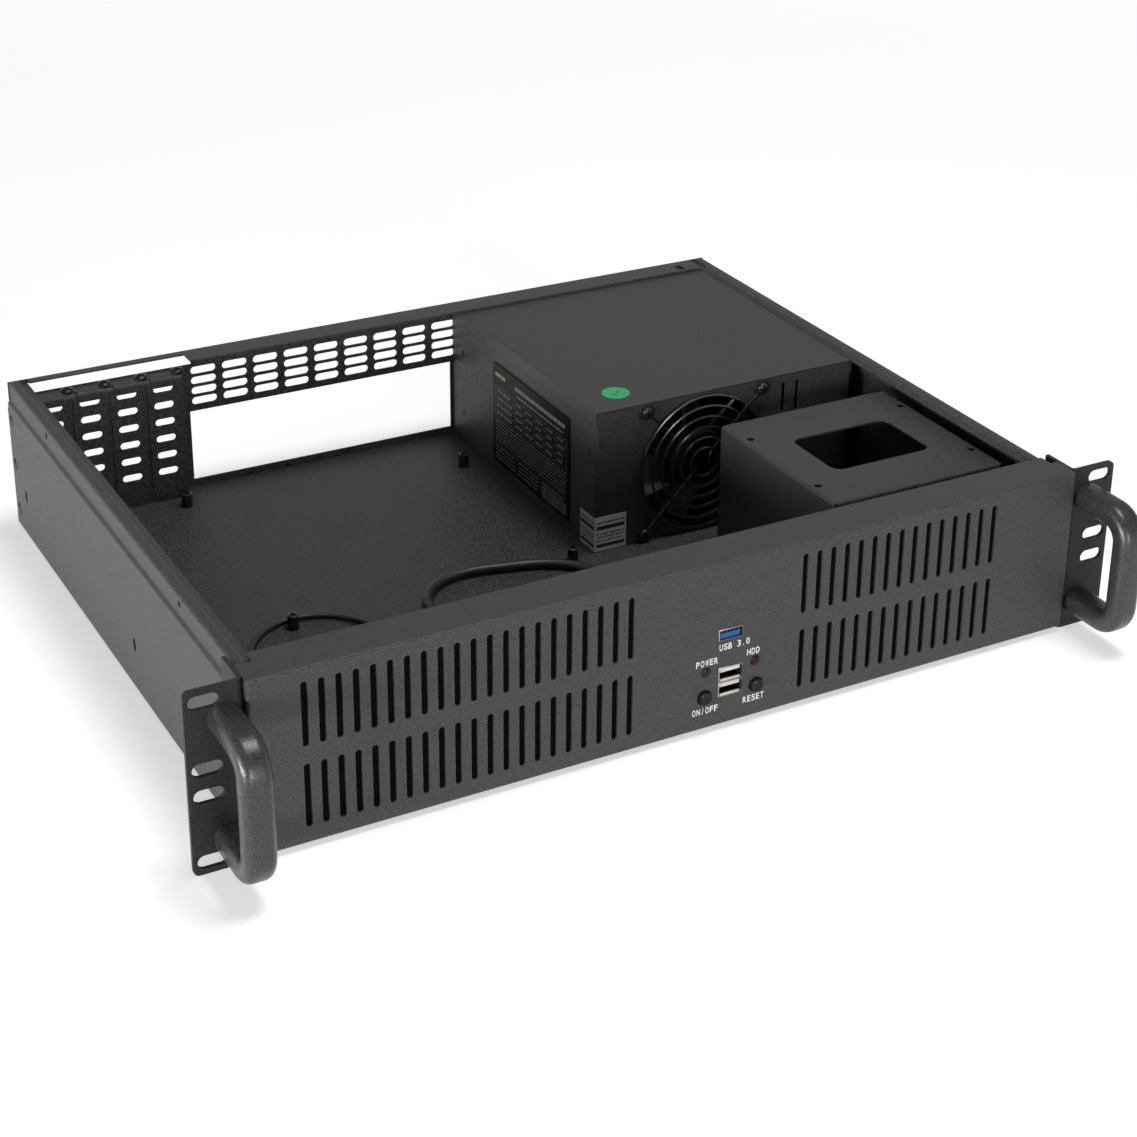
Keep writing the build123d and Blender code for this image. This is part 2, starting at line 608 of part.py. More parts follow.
def handle_screws():
    """Screws from behind the ears into the handle legs."""
    screws = []
    for side in (-1, 1):
        for z in HANDLE_LEGS:
            x = side * HANDLE_OFFSET
            head = rod_y(x, z, EAR_SHEET, EAR_SHEET + SCREW_HEAD, HANDLE_SCREW_HEAD)
            screws.append(head + rod_y(x, z, -HANDLE_REACH * 0.4, EAR_SHEET, HANDLE_SCREW_RADIUS))
    return screws


def push_button(place):
    """Round cap with a stem that slides in its switch."""
    x, z = place
    front = -PANEL_REACH - BUTTON_PROUD
    cap = rod_y(x, z, front, front + BUTTON_LENGTH, BUTTON_RADIUS)
    cap = fillet(cap.edges().group_by(Axis.Y)[0], 0.8)
    return cap + rod_y(x, z, front + BUTTON_LENGTH - 1, front + BUTTON_LENGTH + STEM_LENGTH, STEM_RADIUS)


def switch_body(place):
    """Switch block on the small board, bored for the stem of its button."""
    x, z = place
    half = SWITCH_SIZE / 2
    front = BOARD_FRONT - SWITCH_DEPTH
    block = span(x - half, x + half, front, BOARD_FRONT, z - half, z + half)
    return block - rod_y(x, z, front - 1, BOARD_FRONT - 1, STEM_RADIUS + FIT_GAP)


def lamp(place):
    """Round lamp: domed lens through the panel, its flange and a spacer back to the board."""
    x, z = place
    front = -PANEL_REACH - LED_PROUD
    lens = rod_y(x, z, front, PANEL_INSIDE, LED_RADIUS)
    lens = fillet(lens.edges().group_by(Axis.Y)[0], LED_RADIUS * 0.7)
    return lens + rod_y(x, z, PANEL_INSIDE, BOARD_FRONT, LED_FLANGE)


def port(place, width, tall, tongues):
    """Socket shell with its contact tongues, from the panel back to the board."""
    x, z = place
    front = -PANEL_REACH - PORT_PROUD
    shell = span(x - width / 2, x + width / 2, front, BOARD_FRONT, z - tall / 2, z + tall / 2)
    cell = tall / tongues
    for i in range(tongues):
        middle = z - tall / 2 + cell * (i + 0.5)
        shell -= span(x - width / 2 + PORT_WALL, x + width / 2 - PORT_WALL, front - 1,
                      BOARD_FRONT - 5, middle - cell / 2 + PORT_WALL, middle + cell / 2 - PORT_WALL)
        shell += span(x - width / 2 + PORT_WALL + TONGUE_SIDE, x + width / 2 - PORT_WALL - TONGUE_SIDE,
                      front + 1, BOARD_FRONT - 4, middle + cell * 0.05,
                      middle + cell * 0.05 + TONGUE_THICK)
    return shell


BOARD_POSTS = [
    (BOARD_CENTRE[0] + i * (BOARD_WIDTH / 2 - BOARD_POST_INSET),
     BOARD_CENTRE[1] + k * (BOARD_HEIGHT / 2 - BOARD_POST_INSET))
    for i, k in ((-1, 1), (1, 1), (-1, -1), (1, -1))
]


def control_board():
    """Small circuit board that holds the ports, lamps and switches."""
    x, z = BOARD_CENTRE
    board = span(x - BOARD_WIDTH / 2, x + BOARD_WIDTH / 2, BOARD_FRONT, BOARD_FRONT + BOARD_SHEET,
                 z - BOARD_HEIGHT / 2, z + BOARD_HEIGHT / 2)
    for px, pz in BOARD_POSTS:
        board -= rod_y(px, pz, BOARD_FRONT - 1, BOARD_FRONT + BOARD_SHEET + 1, SCREW_RADIUS + SCREW_GAP)
    return board


def board_posts():
    """Press-in spacers between the panel and the board, with their screws."""
    posts = []
    for x, z in BOARD_POSTS:
        post = rod_y(x, z, PANEL_INSIDE, BOARD_FRONT, BOARD_POST_RADIUS)
        post += rod_y(x, z, BOARD_FRONT, BOARD_FRONT + BOARD_SHEET, SCREW_RADIUS)
        back = BOARD_FRONT + BOARD_SHEET
        posts.append(post + rod_y(x, z, back, back + SCREW_HEAD, BOARD_POST_RADIUS))
    return posts


def drive_cage():
    """Drive cage: one sheet folded into a bridge with feet, a front lip and a windowed top."""
    half = SHEET / 2
    left = CAGE_LEFT + half
    right = CAGE_LEFT + CAGE_WIDTH - half
    points = [
        (CAGE_LEFT + CAGE_FOOT, FLOOR + half), (left, FLOOR + half), (left, CAGE_TOP - half),
        (right, CAGE_TOP - half), (right, FLOOR + half), (right + half - CAGE_FOOT, FLOOR + half),
    ]
    cage = folded_y(points, [BEND] * 4, SHEET, CAGE_FRONT, CAGE_FRONT + CAGE_DEPTH)
    lip_points = [
        (CAGE_FRONT + half, CAGE_TOP - CAGE_LIP), (CAGE_FRONT + half, CAGE_TOP - half),
        (CAGE_FRONT + 4 * BEND, CAGE_TOP - half),
    ]
    lip_side = SHEET + BEND
    cage -= span(CAGE_LEFT + lip_side, CAGE_LEFT + CAGE_WIDTH - lip_side, CAGE_FRONT - 1,
                 CAGE_FRONT + 2 * BEND, CAGE_TOP - 3, CAGE_TOP + 1)
    cage += folded_x(lip_points, [BEND], SHEET, CAGE_LEFT + lip_side,
                     CAGE_LEFT + CAGE_WIDTH - lip_side)
    window = RectangleRounded(CAGE_WINDOW_WIDTH, CAGE_WINDOW_DEPTH, CAGE_WINDOW_ROUND)
    cage -= Pos(CAGE_X, CAGE_Y, CAGE_TOP) * extrude(window, 2 * SHEET, both=True)
    for place in GridLocations(CAGE_HOLES_WIDE, CAGE_HOLES_DEEP, 2, 2):
        x, y = place.position.X + CAGE_X, place.position.Y + CAGE_Y
        cage -= rod_z(x, y, CAGE_TOP - 3, CAGE_TOP + 1, CAGE_HOLE_RADIUS)
    for x in CAGE_FOOT_XS:
        for y in CAGE_FOOT_YS:
            cage -= rod_z(x, y, FLOOR - 1, FLOOR + SHEET + 1, SCREW_RADIUS + SCREW_GAP)
    return cage


def cage_screws():
    """Screws down through the feet of the cage, flush with the underside of the floor."""
    return [screw_up(x, y, FLOOR + SHEET, 2 * SHEET) for x in CAGE_FOOT_XS for y in CAGE_FOOT_YS]


def psu_case():
    """Power supply tray: floor, sides and ends, with its fan hole, slots and rear openings."""
    left, right = PSU_LEFT + PSU_SHEET, PSU_RIGHT - PSU_SHEET
    top = PSU_TOP - PSU_SHEET - LAP
    case = span(left, right, PSU_FRONT, PSU_BACK, FLOOR, top)
    upright = case.edges().filter_by(Axis.Z)
    case = fillet(upright, PSU_CORNER)
    case -= span(left + PSU_SHEET, right - PSU_SHEET, PSU_FRONT + PSU_SHEET, PSU_BACK - PSU_SHEET,
                 FLOOR + PSU_SHEET, top + 1)
    case -= rod_y(FAN_X, FAN_Z, PSU_FRONT - 1, PSU_FRONT + 2, FAN_BORE)
    for x, z in FAN_SCREWS:
        case -= rod_y(x, z, PSU_FRONT - 1, PSU_FRONT + 2, SCREW_RADIUS + SCREW_GAP)
    front = Plane((0, PSU_FRONT, 0), x_dir=(1, 0, 0), z_dir=(0, -1, 0))
    slots = [(PSU_LEFT + x, PSU_TOP - PSU_SLOT_TOP - PSU_SLOT_LENGTH / 2) for x in PSU_SLOTS_X]
    case -= cut_slots(front, slots, PSU_SLOT_LENGTH, PSU_SLOT_WIDTH, 90, 2)
    side = Plane((left, 0, 0), x_dir=(0, 1, 0), z_dir=(1, 0, 0))
    places = [(PSU_FRONT + y, FLOOR + z) for y, z in SIDE_SLOTS]
    case -= cut_slots(side, places, SIDE_SLOT_LENGTH, SIDE_SLOT_WIDTH, 90, 2)
    back = Plane((0, PSU_BACK, 0), x_dir=(1, 0, 0), z_dir=(0, -1, 0))
    inlet_x = PSU_RIGHT - INLET_X
    vents = [
        (inlet_x - INLET_FLANGE_WIDTH / 2 - PSU_VENT_PITCH * (i + 1.5), FLOOR + INLET_Z * 0.75)
        for i in range(PSU_VENT_COUNT)
    ]
    case -= cut_slots(back, vents, PSU_VENT_LENGTH, PSU_VENT_WIDTH, 90, 2)
    half_x, half_z = INLET_WIDTH / 2 + FIT_GAP, INLET_HEIGHT / 2 + FIT_GAP
    case -= span(inlet_x - half_x, inlet_x + half_x, PSU_BACK - 2, PSU_BACK + 1,
                 FLOOR + INLET_Z - half_z, FLOOR + INLET_Z + half_z)
    half_x, half_z = ROCKER_WIDTH / 2 + 1 + FIT_GAP, ROCKER_HEIGHT / 2 + 1 + FIT_GAP
    case -= span(inlet_x - half_x, inlet_x + half_x, PSU_BACK - 2, PSU_BACK + 1,
                 FLOOR + ROCKER_Z - half_z, FLOOR + ROCKER_Z + half_z)
    for x, z in PSU_SCREWS:
        case -= rod_y(x, z, PSU_BACK - 2, PSU_BACK + 1, SCREW_RADIUS + SCREW_GAP)
    return case


def psu_cover():
    """Power supply cover: top sheet with a short lip over each side."""
    half = PSU_SHEET / 2
    left, right = PSU_LEFT + half, PSU_RIGHT - half
    low, top = PSU_TOP - PSU_LIP, PSU_TOP - half
    points = [(left, low), (left, top), (right, top), (right, low)]
    return folded_y(points, [PSU_SHEET, PSU_SHEET], PSU_SHEET, PSU_FRONT, PSU_BACK - BEND)


def psu_mount_screws():
    """Screws through the rear panel into the back of the power supply."""
    screws = []
    for x, z in PSU_SCREWS:
        head = rod_y(x, z, BODY_DEPTH, BODY_DEPTH + SCREW_HEAD, SCREW_HEAD_RADIUS)
        screws.append(head + rod_y(x, z, PSU_BACK - 5, BODY_DEPTH, SCREW_RADIUS))
    return screws


def psu_inlet():
    """Three-pin appliance inlet with its flange and a chamfered socket."""
    x, z = PSU_RIGHT - INLET_X, FLOOR + INLET_Z
    back = PSU_BACK + INLET_FLANGE_THICK
    body = span(x - INLET_WIDTH / 2, x + INLET_WIDTH / 2, PSU_BACK - INLET_DEPTH, PSU_BACK,
                z - INLET_HEIGHT / 2, z + INLET_HEIGHT / 2)
    flange = Plane((x, PSU_BACK, z), x_dir=(1, 0, 0), z_dir=(0, 1, 0)) * RectangleRounded(
        INLET_FLANGE_WIDTH, INLET_FLANGE_HEIGHT, 3)
    body += extrude(flange, INLET_FLANGE_THICK)
    wide, tall, bevel = 24.0, 16.5, 5.0
    outline = make_face(Polyline(
        (-wide / 2, -tall / 2), (wide / 2, -tall / 2), (wide / 2, tall / 2 - bevel),
        (wide / 2 - bevel, tall / 2), (bevel - wide / 2, tall / 2), (-wide / 2, tall / 2 - bevel),
        close=True))
    socket = Plane((x, back, z), x_dir=(1, 0, 0), z_dir=(0, -1, 0)) * outline
    body -= extrude(socket, INLET_DEPTH - 2)
    for offset, rise in ((-7.0, -1.5), (0.0, 2.5), (7.0, -1.5)):
        body += span(x + offset - 1, x + offset + 1, PSU_BACK - INLET_DEPTH + 1, PSU_BACK - 2,
                     z + rise - 2, z + rise + 2)
    return body


def rocker_frame():
    """Frame of the mains switch in the back of the power supply."""
    x, z = PSU_RIGHT - INLET_X, FLOOR + ROCKER_Z
    half_x, half_z = ROCKER_WIDTH / 2 + 1, ROCKER_HEIGHT / 2 + 1
    frame = span(x - half_x, x + half_x, PSU_BACK - 12, PSU_BACK, z - half_z, z + half_z)
    frame += span(x - half_x - 1.5, x + half_x + 1.5, PSU_BACK, PSU_BACK + 1,
                  z - half_z - 1.5, z + half_z + 1.5)
    return frame - span(x - ROCKER_WIDTH / 2, x + ROCKER_WIDTH / 2, PSU_BACK - 9, PSU_BACK + 2,
                        z - ROCKER_HEIGHT / 2, z + ROCKER_HEIGHT / 2)


def rocker():
    """Rocker of the mains switch, shallow V face, turned to its off side."""
    x, z = PSU_RIGHT - INLET_X, FLOOR + ROCKER_Z
    wide = ROCKER_WIDTH / 2 - 0.8
    rise = wide * tan(radians(ROCKER_ANGLE))
    profile = make_face(Polyline(
        (-wide, rise * 1.2), (0, 0), (wide, rise * 1.2), (wide * 0.6, -4.5), (-wide * 0.6, -4.5),
        close=True))
    tall = ROCKER_HEIGHT - 0.8
    solid = extrude(profile, tall / 2, both=True)
    pivot = PSU_BACK - 0.6
    return Pos(x, pivot, z) * Rot(0, 0, -ROCKER_ANGLE) * solid


def fan_frame():
    """Square fan frame with a round bore, corner holes and a rear spider that holds the motor."""
    block = Plane((FAN_X, FAN_FRONT, FAN_Z), x_dir=(1, 0, 0), z_dir=(0, 1, 0)) * RectangleRounded(
        FAN_SIZE, FAN_SIZE, FAN_CORNER)
    frame = extrude(block, FAN_DEPTH)
    back = FAN_FRONT + FAN_DEPTH
    frame -= rod_y(FAN_X, FAN_Z, FAN_FRONT - 1, back + 1, FAN_BORE)
    for x, z in FAN_SCREWS:
        frame -= rod_y(x, z, FAN_FRONT - 1, back + 1, FAN_HOLE_RADIUS)
    for angle in (0, 90):
        bar = Box(STRUT_WIDTH, STRUT_THICK, 2 * FAN_BORE + 2)
        frame += Pos(FAN_X, back - STRUT_THICK / 2, FAN_Z) * Rot(0, angle + 20, 0) * bar
    frame += rod_y(FAN_X, FAN_Z, back - STRUT_THICK, back, FAN_HUB)
    return frame - rod_y(FAN_X, FAN_Z, back - STRUT_THICK - 1, back + 1, AXLE_RADIUS + FIT_GAP)


def fan_rotor():
    """Seven cambered blades on a domed hub, with its axle."""
    back = FAN_FRONT + FAN_DEPTH - STRUT_THICK - 0.6
    front = FAN_FRONT + 1.5
    hub = rod_y(0, 0, front, back, FAN_HUB)
    hub = fillet(hub.edges().group_by(Axis.Y)[0], 2.0)
    middle = (front + back) / 2
    tip = FAN_BORE - FAN_TIP_GAP
    ring = rod_y(0, 0, front + 1, back - 1, tip)
    camber = ThreePointArc((-BLADE_CHORD / 2, 0), (0, BLADE_CHORD * BLADE_CHORD / (8 * BLADE_CAMBER)),
                           (BLADE_CHORD / 2, 0))
    section = trace(camber, line_width=BLADE_THICK)
    blade = extrude(section, tip + 2 - FAN_HUB * 0.8)
    blade = Pos(0, middle, FAN_HUB * 0.8) * Rot(0, 0, BLADE_PITCH) * blade
    blade = blade & ring
    rotor = hub
    for i in range(BLADE_COUNT):
        rotor += Rot(0, i * 360 / BLADE_COUNT, 0) * blade
    rotor += rod_y(0, 0, back - 1, back + STRUT_THICK, AXLE_RADIUS)
    return Pos(FAN_X, 0, FAN_Z) * rotor


def fan_guard():
    """Wire guard: welded rings on two diagonal wires that end in eyes round the screws."""
    wire = GUARD_WIRE
    back = PSU_FRONT - wire
    front = back - wire * 1.5
    turned = Rot(90, 0, 0)
    reach = FAN_HOLE_SPACING / 2 * 2 ** 0.5
    guard = None
    for radius in GUARD_RINGS:
        ring = Pos(0, front, 0) * turned * Torus(radius, wire)
        guard = ring if guard is None else guard + ring
    for angle in (45, 135, 225, 315):
        inner, outer = GUARD_RINGS[-1], reach - GUARD_EYE
        spoke = Pos(0, back, (inner + outer) / 2) * Cylinder(wire, outer - inner)
        eye = Pos(0, back, reach) * turned * Torus(GUARD_EYE, wire)
        guard += Rot(0, angle, 0) * spoke
        guard += Rot(0, angle, 0) * eye
    return Pos(FAN_X, 0, FAN_Z) * guard


def fan_screws():
    """Pan-head screws through the guard eyes into the fan frame."""
    screws = []
    for x, z in FAN_SCREWS:
        seat = PSU_FRONT - 2 * GUARD_WIRE
        head = rod_y(x, z, seat - SCREW_HEAD, seat, SCREW_HEAD_RADIUS + GUARD_WIRE)
        head = fillet(head.edges().group_by(Axis.Y)[0], SCREW_HEAD * 0.4)
        screws.append(head + rod_y(x, z, seat, PSU_FRONT + 14, SCREW_RADIUS))
    return screws


def cord(points, radius):
    """Round lead along straight runs joined by tangent arcs as large as the runs allow."""
    corners = [Vector(*p) for p in points]
    radii = []
    for before, here, after in zip(corners, corners[1:], corners[2:]):
        turn = (here - before).get_angle(after - here)
        run = min((here - before).length, (after - here).length)
        radii.append(0.45 * run / tan(radians(turn / 2)))
    path = FilletPolyline(*points, radius=radii)
    start = Plane(origin=path @ 0, z_dir=path % 0)
    tube = sweep(start * Circle(radius), path)
    print("cord radii", [round(r, 1) for r in radii], "length", round(path.length, 1),
          "volume ratio", round(tube.volume / (path.length * 3.14159265 * radius ** 2), 4))
    return tube


BUNDLE_Z = FLOOR + BUNDLE_RADIUS + CORD_GAP
LEAD_Z = FLOOR + LEAD_RADIUS + CORD_GAP
SOCKET_BACK = BOARD_FRONT + BOARD_SHEET + SOCKET_SIZE[1]
BUNDLE_POINTS = [
    (24.0, SOCKET_BACK, 40.0),
    (24.0, SOCKET_BACK + 14, 40.0),
    (26.0, SOCKET_BACK + 30, 31.0),
    (29.4, SOCKET_BACK + 45, 17.0),
    (32.4, SOCKET_BACK + 64, BUNDLE_Z + 1.4),
    (34.0, 112.0, BUNDLE_Z),
    (34.6, 136.0, BUNDLE_Z),
    (30.0, 158.0, BUNDLE_Z),
    (14.0, 171.5, BUNDLE_Z),
    (-8.0, 177.5, BUNDLE_Z),
    (-30.0, 182.0, BUNDLE_Z),
    (-50.0, 176.0, BUNDLE_Z),
    (-62.0, 158.5, BUNDLE_Z),
    (-60.0, 138.0, BUNDLE_Z),
    (-52.0, 120.0, BUNDLE_Z),
]
LEAD_POINTS = [
    (-1.0, SOCKET_BACK, 44.0),
    (-1.0, SOCKET_BACK + 11, 44.0),
    (-5.0, SOCKET_BACK + 24, 35.0),
    (-14.0, SOCKET_BACK + 36, 20.0),
    (-30.0, SOCKET_BACK + 48, LEAD_Z + 2.6),
    (-50.0, 84.0, LEAD_Z),
    (-70.0, 104.0, LEAD_Z),
    (-84.0, 130.0, LEAD_Z),
    (-93.0, 156.0, LEAD_Z),
    (-107.0, 173.4, LEAD_Z),
    (-126.0, 179.4, LEAD_Z),
    (-143.0, 173.4, LEAD_Z),
    (-155.0, 160.0, LEAD_Z),
    (-161.0, 144.0, LEAD_Z),
    (-163.0, 127.0, LEAD_Z),
]


def plug(end, before, size, radius):
    """Small plug on the floor at the free end of a lead, turned the way the lead arrives."""
    wide, long = size
    tall = 2 * (radius + CORD_GAP)
    way = Vector(*end) - Vector(*before)
    place = Plane(origin=end, x_dir=Vector(way.Y, -way.X, 0), z_dir=way)
    return place * Pos(0, 0, long / 2) * Box(wide, tall, long)


def cord_socket(place):
    """Pin header with its plug housing on the back of the board."""
    wide, deep, tall = SOCKET_SIZE
    x, z = place
    back = BOARD_FRONT + BOARD_SHEET
    return span(x - wide / 2, x + wide / 2, back, back + deep, z - tall / 2, z + tall / 2)


def build():
    """Every sub-part by the name of its node."""
    nodes = {
        "body_pan": body_pan(),
        "rear_panel": rear_panel(),
        "slot_frame": slot_frame(),
        "slot_screws": slot_screws(),
        "side_rivets": side_rivets(),
        "board_standoffs": standoffs(),
        "front_panel": front_panel(),
        "left_ear": rack_ear(-1),
        "right_ear": rack_ear(1),
        "ear_screws": ear_screws(),
        "left_handle": bow_handle(-1),
        "right_handle": bow_handle(1),
        "handle_screws": handle_screws(),
        "power_button": push_button(POWER_BUTTON),
        "reset_button": push_button(RESET_BUTTON),
        "power_switch_body": switch_body(POWER_BUTTON),
        "reset_switch_body": switch_body(RESET_BUTTON),
        "power_lamp": lamp(POWER_LED),
        "drive_lamp": lamp(HDD_LED),
        "usb3_port": port(USB3_PLACE, USB3_WIDTH, USB3_HEIGHT, 1),
        "usb2_double_port": port(USB2_PLACE, USB2_WIDTH, USB2_HEIGHT, 2),
        "control_board": control_board(),
        "board_posts": board_posts(),
        "board_sockets": [cord_socket(place) for place in SOCKET_PLACES],
        "drive_cage": drive_cage(),
        "cage_screws": cage_screws(),
        "psu_case": psu_case(),
        "psu_cover": psu_cover(),
        "psu_mount_screws": psu_mount_screws(),
        "psu_inlet": psu_inlet(),
        "psu_rocker_frame": rocker_frame(),
        "psu_rocker": rocker(),
        "fan_frame": fan_frame(),
        "fan_rotor": fan_rotor(),
        "fan_guard": fan_guard(),
        "fan_screws": fan_screws(),
        "bundle_cord": cord(BUNDLE_POINTS, BUNDLE_RADIUS),
        "bundle_plug": plug(BUNDLE_POINTS[-1], BUNDLE_POINTS[-2], BUNDLE_PLUG, BUNDLE_RADIUS),
        "lead_cord": cord(LEAD_POINTS, LEAD_RADIUS),
        "lead_plug": plug(LEAD_POINTS[-1], LEAD_POINTS[-2], LEAD_PLUG, LEAD_RADIUS),
    }
    for i, x in enumerate(SLOT_XS):
        nodes[f"slot_cover_{i + 1}"] = slot_cover(x)
    return nodes


def main():
    """Write one STEP file for each node, in the frame of the whole object."""
    os.makedirs("parts", exist_ok=True)
    place = Location((0, -CENTRE_Y, 0))
    for name, shape in build().items():
        pieces = shape if isinstance(shape, list) else list(shape.solids())
        moved = [piece.moved(place) for piece in pieces]
        whole = moved[0] if len(moved) == 1 else Compound(children=moved)
        export_step(whole, f"parts/{name}.step")


if __name__ == "__main__":
    main()
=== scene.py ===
"""Looks of an open rackmount server case of two units: finishes, small parts, leads and studio."""

import logging
import math
import random
from dataclasses import dataclass
from enum import Enum
from typing import Any, Iterable, Optional, Sequence

import bmesh
import bpy
from mathutils import Matrix, Vector


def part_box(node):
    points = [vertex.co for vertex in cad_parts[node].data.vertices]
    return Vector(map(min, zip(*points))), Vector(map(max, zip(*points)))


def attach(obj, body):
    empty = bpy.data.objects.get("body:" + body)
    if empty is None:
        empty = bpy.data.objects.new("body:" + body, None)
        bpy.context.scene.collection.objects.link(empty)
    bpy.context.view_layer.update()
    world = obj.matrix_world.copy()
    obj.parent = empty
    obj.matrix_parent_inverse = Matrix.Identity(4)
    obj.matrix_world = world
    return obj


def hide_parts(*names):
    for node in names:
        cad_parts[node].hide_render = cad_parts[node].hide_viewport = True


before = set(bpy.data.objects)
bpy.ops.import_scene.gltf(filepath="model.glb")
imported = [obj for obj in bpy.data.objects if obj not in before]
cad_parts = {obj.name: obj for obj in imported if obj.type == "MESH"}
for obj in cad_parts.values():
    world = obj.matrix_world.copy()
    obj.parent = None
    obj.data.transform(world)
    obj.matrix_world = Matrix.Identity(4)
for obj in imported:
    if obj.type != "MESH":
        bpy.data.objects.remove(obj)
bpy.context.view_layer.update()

LOG = logging.getLogger("server_case")
MM = 0.001
EAR_PLANE = 156.0
TO_FRAME = Matrix.Scale(MM, 4) @ Matrix.Translation((0.0, -EAR_PLANE, 0.0))
SHARP_ANGLE = math.radians(34.0)
WELD = 1e-4
DIAGONAL = math.sqrt(0.5)
ROUND = 0.5523  # handle of a quarter circle, as a share of its radius
PHOTO_SIZE = 1137
WHITE = (1.0, 1.0, 1.0, 1.0)

Mesh = bmesh.types.BMesh
Item = bpy.types.Object
Material = bpy.types.Material
Pair = tuple[float, float]
Colour = tuple[float, float, float]
Point = tuple[float, float, float]
Profile = tuple[Pair, ...]


class Body(str, Enum):
    """Moving bodies of the frame."""

    CASE = "case"
    ROTOR = "fan_rotor"
    POWER = "power_button"
    RESET = "reset_button"
    MAINS = "mains_rocker"


class Slot(str, Enum):
    """Material slots of the record."""

    COAT = "black_powder_coat"
    HANDLE = "black_handle"
    SCREW = "black_screw"
    STEEL = "plated_steel"
    BRASS = "brass"
    PLASTIC = "black_plastic"
    BUTTON = "button_plastic"
    GREEN = "lamp_green"
    RED = "lamp_red"
    BOARD = "circuit_board"
    CORD = "cord_black"


class Axis(Enum):
    """Directions that a turned part can point in."""

    RIGHT = (1.0, 0.0, 0.0)
    LEFT = (-1.0, 0.0, 0.0)
    BACK = (0.0, 1.0, 0.0)
    FRONT = (0.0, -1.0, 0.0)
    UP = (0.0, 0.0, 1.0)

    def turn(self) -> Matrix:
        """Rotation that brings +Z to this direction."""
        return Vector((0.0, 0.0, 1.0)).rotation_difference(Vector(self.value)).to_matrix().to_4x4()


SIDES = ((-1, Axis.LEFT), (1, Axis.RIGHT))


class Signal:
    """A shader socket that adds Math nodes when it is used in an expression."""

    def __init__(self, graph: "Graph", socket: bpy.types.NodeSocket) -> None:
        """Wraps one output socket of a graph."""
        self.graph, self.socket = graph, socket

    def _maths(self, operation: str, first: Any, second: Any) -> "Signal":
        """Adds one Math node and returns its output."""
        return self.graph.signal("Math", {0: first, 1: second}, operation=operation)

    def __add__(self, other: Any) -> "Signal":
        """Sum."""
        return self._maths("ADD", self, other)

    __radd__ = __add__

    def __mul__(self, other: Any) -> "Signal":
        """Product."""
        return self._maths("MULTIPLY", self, other)

    __rmul__ = __mul__

    def __sub__(self, other: Any) -> "Signal":
        """Difference."""
        return self._maths("SUBTRACT", self, other)

    def __rsub__(self, other: Any) -> "Signal":
        """Difference from a number."""
        return self._maths("SUBTRACT", other, self)

    def __gt__(self, other: Any) -> "Signal":
        """One where this is greater, else nought."""
        return self._maths("GREATER_THAN", self, other)


class Graph:
    """Node tree of a material or of the world."""

    def __init__(self, owner: bpy.types.ID) -> None:
        """Starts an empty node tree.

        Args:
            owner: The material or world that the tree belongs to.
        """
        self.owner = owner
        owner.use_nodes = True
        self.tree = owner.node_tree
        self.tree.nodes.clear()

    def node(self, kind: str, sockets: Optional[dict] = None, stops: Sequence = (),
             **settings: Any) -> bpy.types.Node:
        """Makes any node.

        Args:
            kind: Node type, without the ShaderNode that all their names start with.
            sockets: Values or signals of its inputs by name or number.
            stops: Places and grey levels of a colour ramp.
            settings: Properties of the node, set first.

        Returns:
            The node.
        """
        made = self.tree.nodes.new(f"ShaderNode{kind}")
        for key, value in settings.items():
            setattr(made, key, value)
        if stops:
            elements = made.color_ramp.elements
            while len(elements) < len(stops):
                elements.new(0.5)
            for element, (place, level) in zip(elements, stops):
                element.position = place
                element.color = (level, level, level, 1.0)
        for key, value in (sockets or {}).items():
            if isinstance(value, Signal):
                self.tree.links.new(value.socket, made.inputs[key])
            else:
                made.inputs[key].default_value = value
        return made

    def signal(self, kind: str, sockets: Optional[dict] = None, output: Any = 0, **settings: Any) -> Signal:
        """Makes a node and returns one of its outputs, by name or number."""
        return Signal(self, self.node(kind, sockets, **settings).outputs[output])

    def place(self, scale: Point = (1.0, 1.0, 1.0)) -> Signal:
        """Object coordinates, stretched by a scale."""
        coords = self.signal("TexCoord", output="Object")
        return self.signal("Mapping", {"Vector": coords, "Scale": scale})

    def noise(self, size_mm: float, detail: float = 2.0, scale: Point = (1.0, 1.0, 1.0)) -> Signal:
        """Noise whose features are about size_mm wide."""
        return self.signal("TexNoise", {"Vector": self.place(scale), "Scale": 1.0 / (size_mm * MM), "Detail": detail,
                                        "Roughness": 0.55})

    def ramp(self, signal: Signal, *stops: Pair) -> Signal:
        """Signal through a colour ramp of grey levels."""
        return self.signal("ValToRGB", {0: signal}, stops=stops)

    def mix(self, factor: Signal, low: Any, high: Any) -> Signal:
        """Colour between low and high."""
        ends = [(*c, 1.0) if isinstance(c, tuple) else c for c in (low, high)]
        return self.signal("Mix", {0: factor, 6: ends[0], 7: ends[1]}, 2, data_type="RGBA")

    def blend(self, factor: Signal, low: Signal, high: Signal) -> Signal:
        """Shader between low and high."""
        return self.signal("MixShader", {0: factor, 1: low, 2: high})

    def glow(self, strength: float) -> Signal:
        """White light given off by the surface."""
        return self.signal("Emission", {"Color": WHITE, "Strength": strength})

    def bump(self, height: Signal, depth_mm: float) -> Signal:
        """Normal of a relief."""
        return self.signal("Bump", {"Height": height, "Distance": depth_mm * MM, "Strength": 1.0})

    def close(self, shader: Signal, kind: str = "OutputMaterial") -> Any:
        """Ends the graph in its output node and returns its material or world."""
        self.node(kind, {"Surface": shader})
        return self.owner

    def surface(self, **values: Any) -> Material:
        """Material of a Principled shader with these sockets, with _ for the spaces in their names."""
        sockets = {key.replace("_", " "): value for key, value in values.items()}
        return self.close(self.signal("BsdfPrincipled", sockets))


def shade(colour: Colour, factor: float) -> Colour:
    """Colour made lighter or darker."""
    return tuple(min(1.0, c * factor) for c in colour)


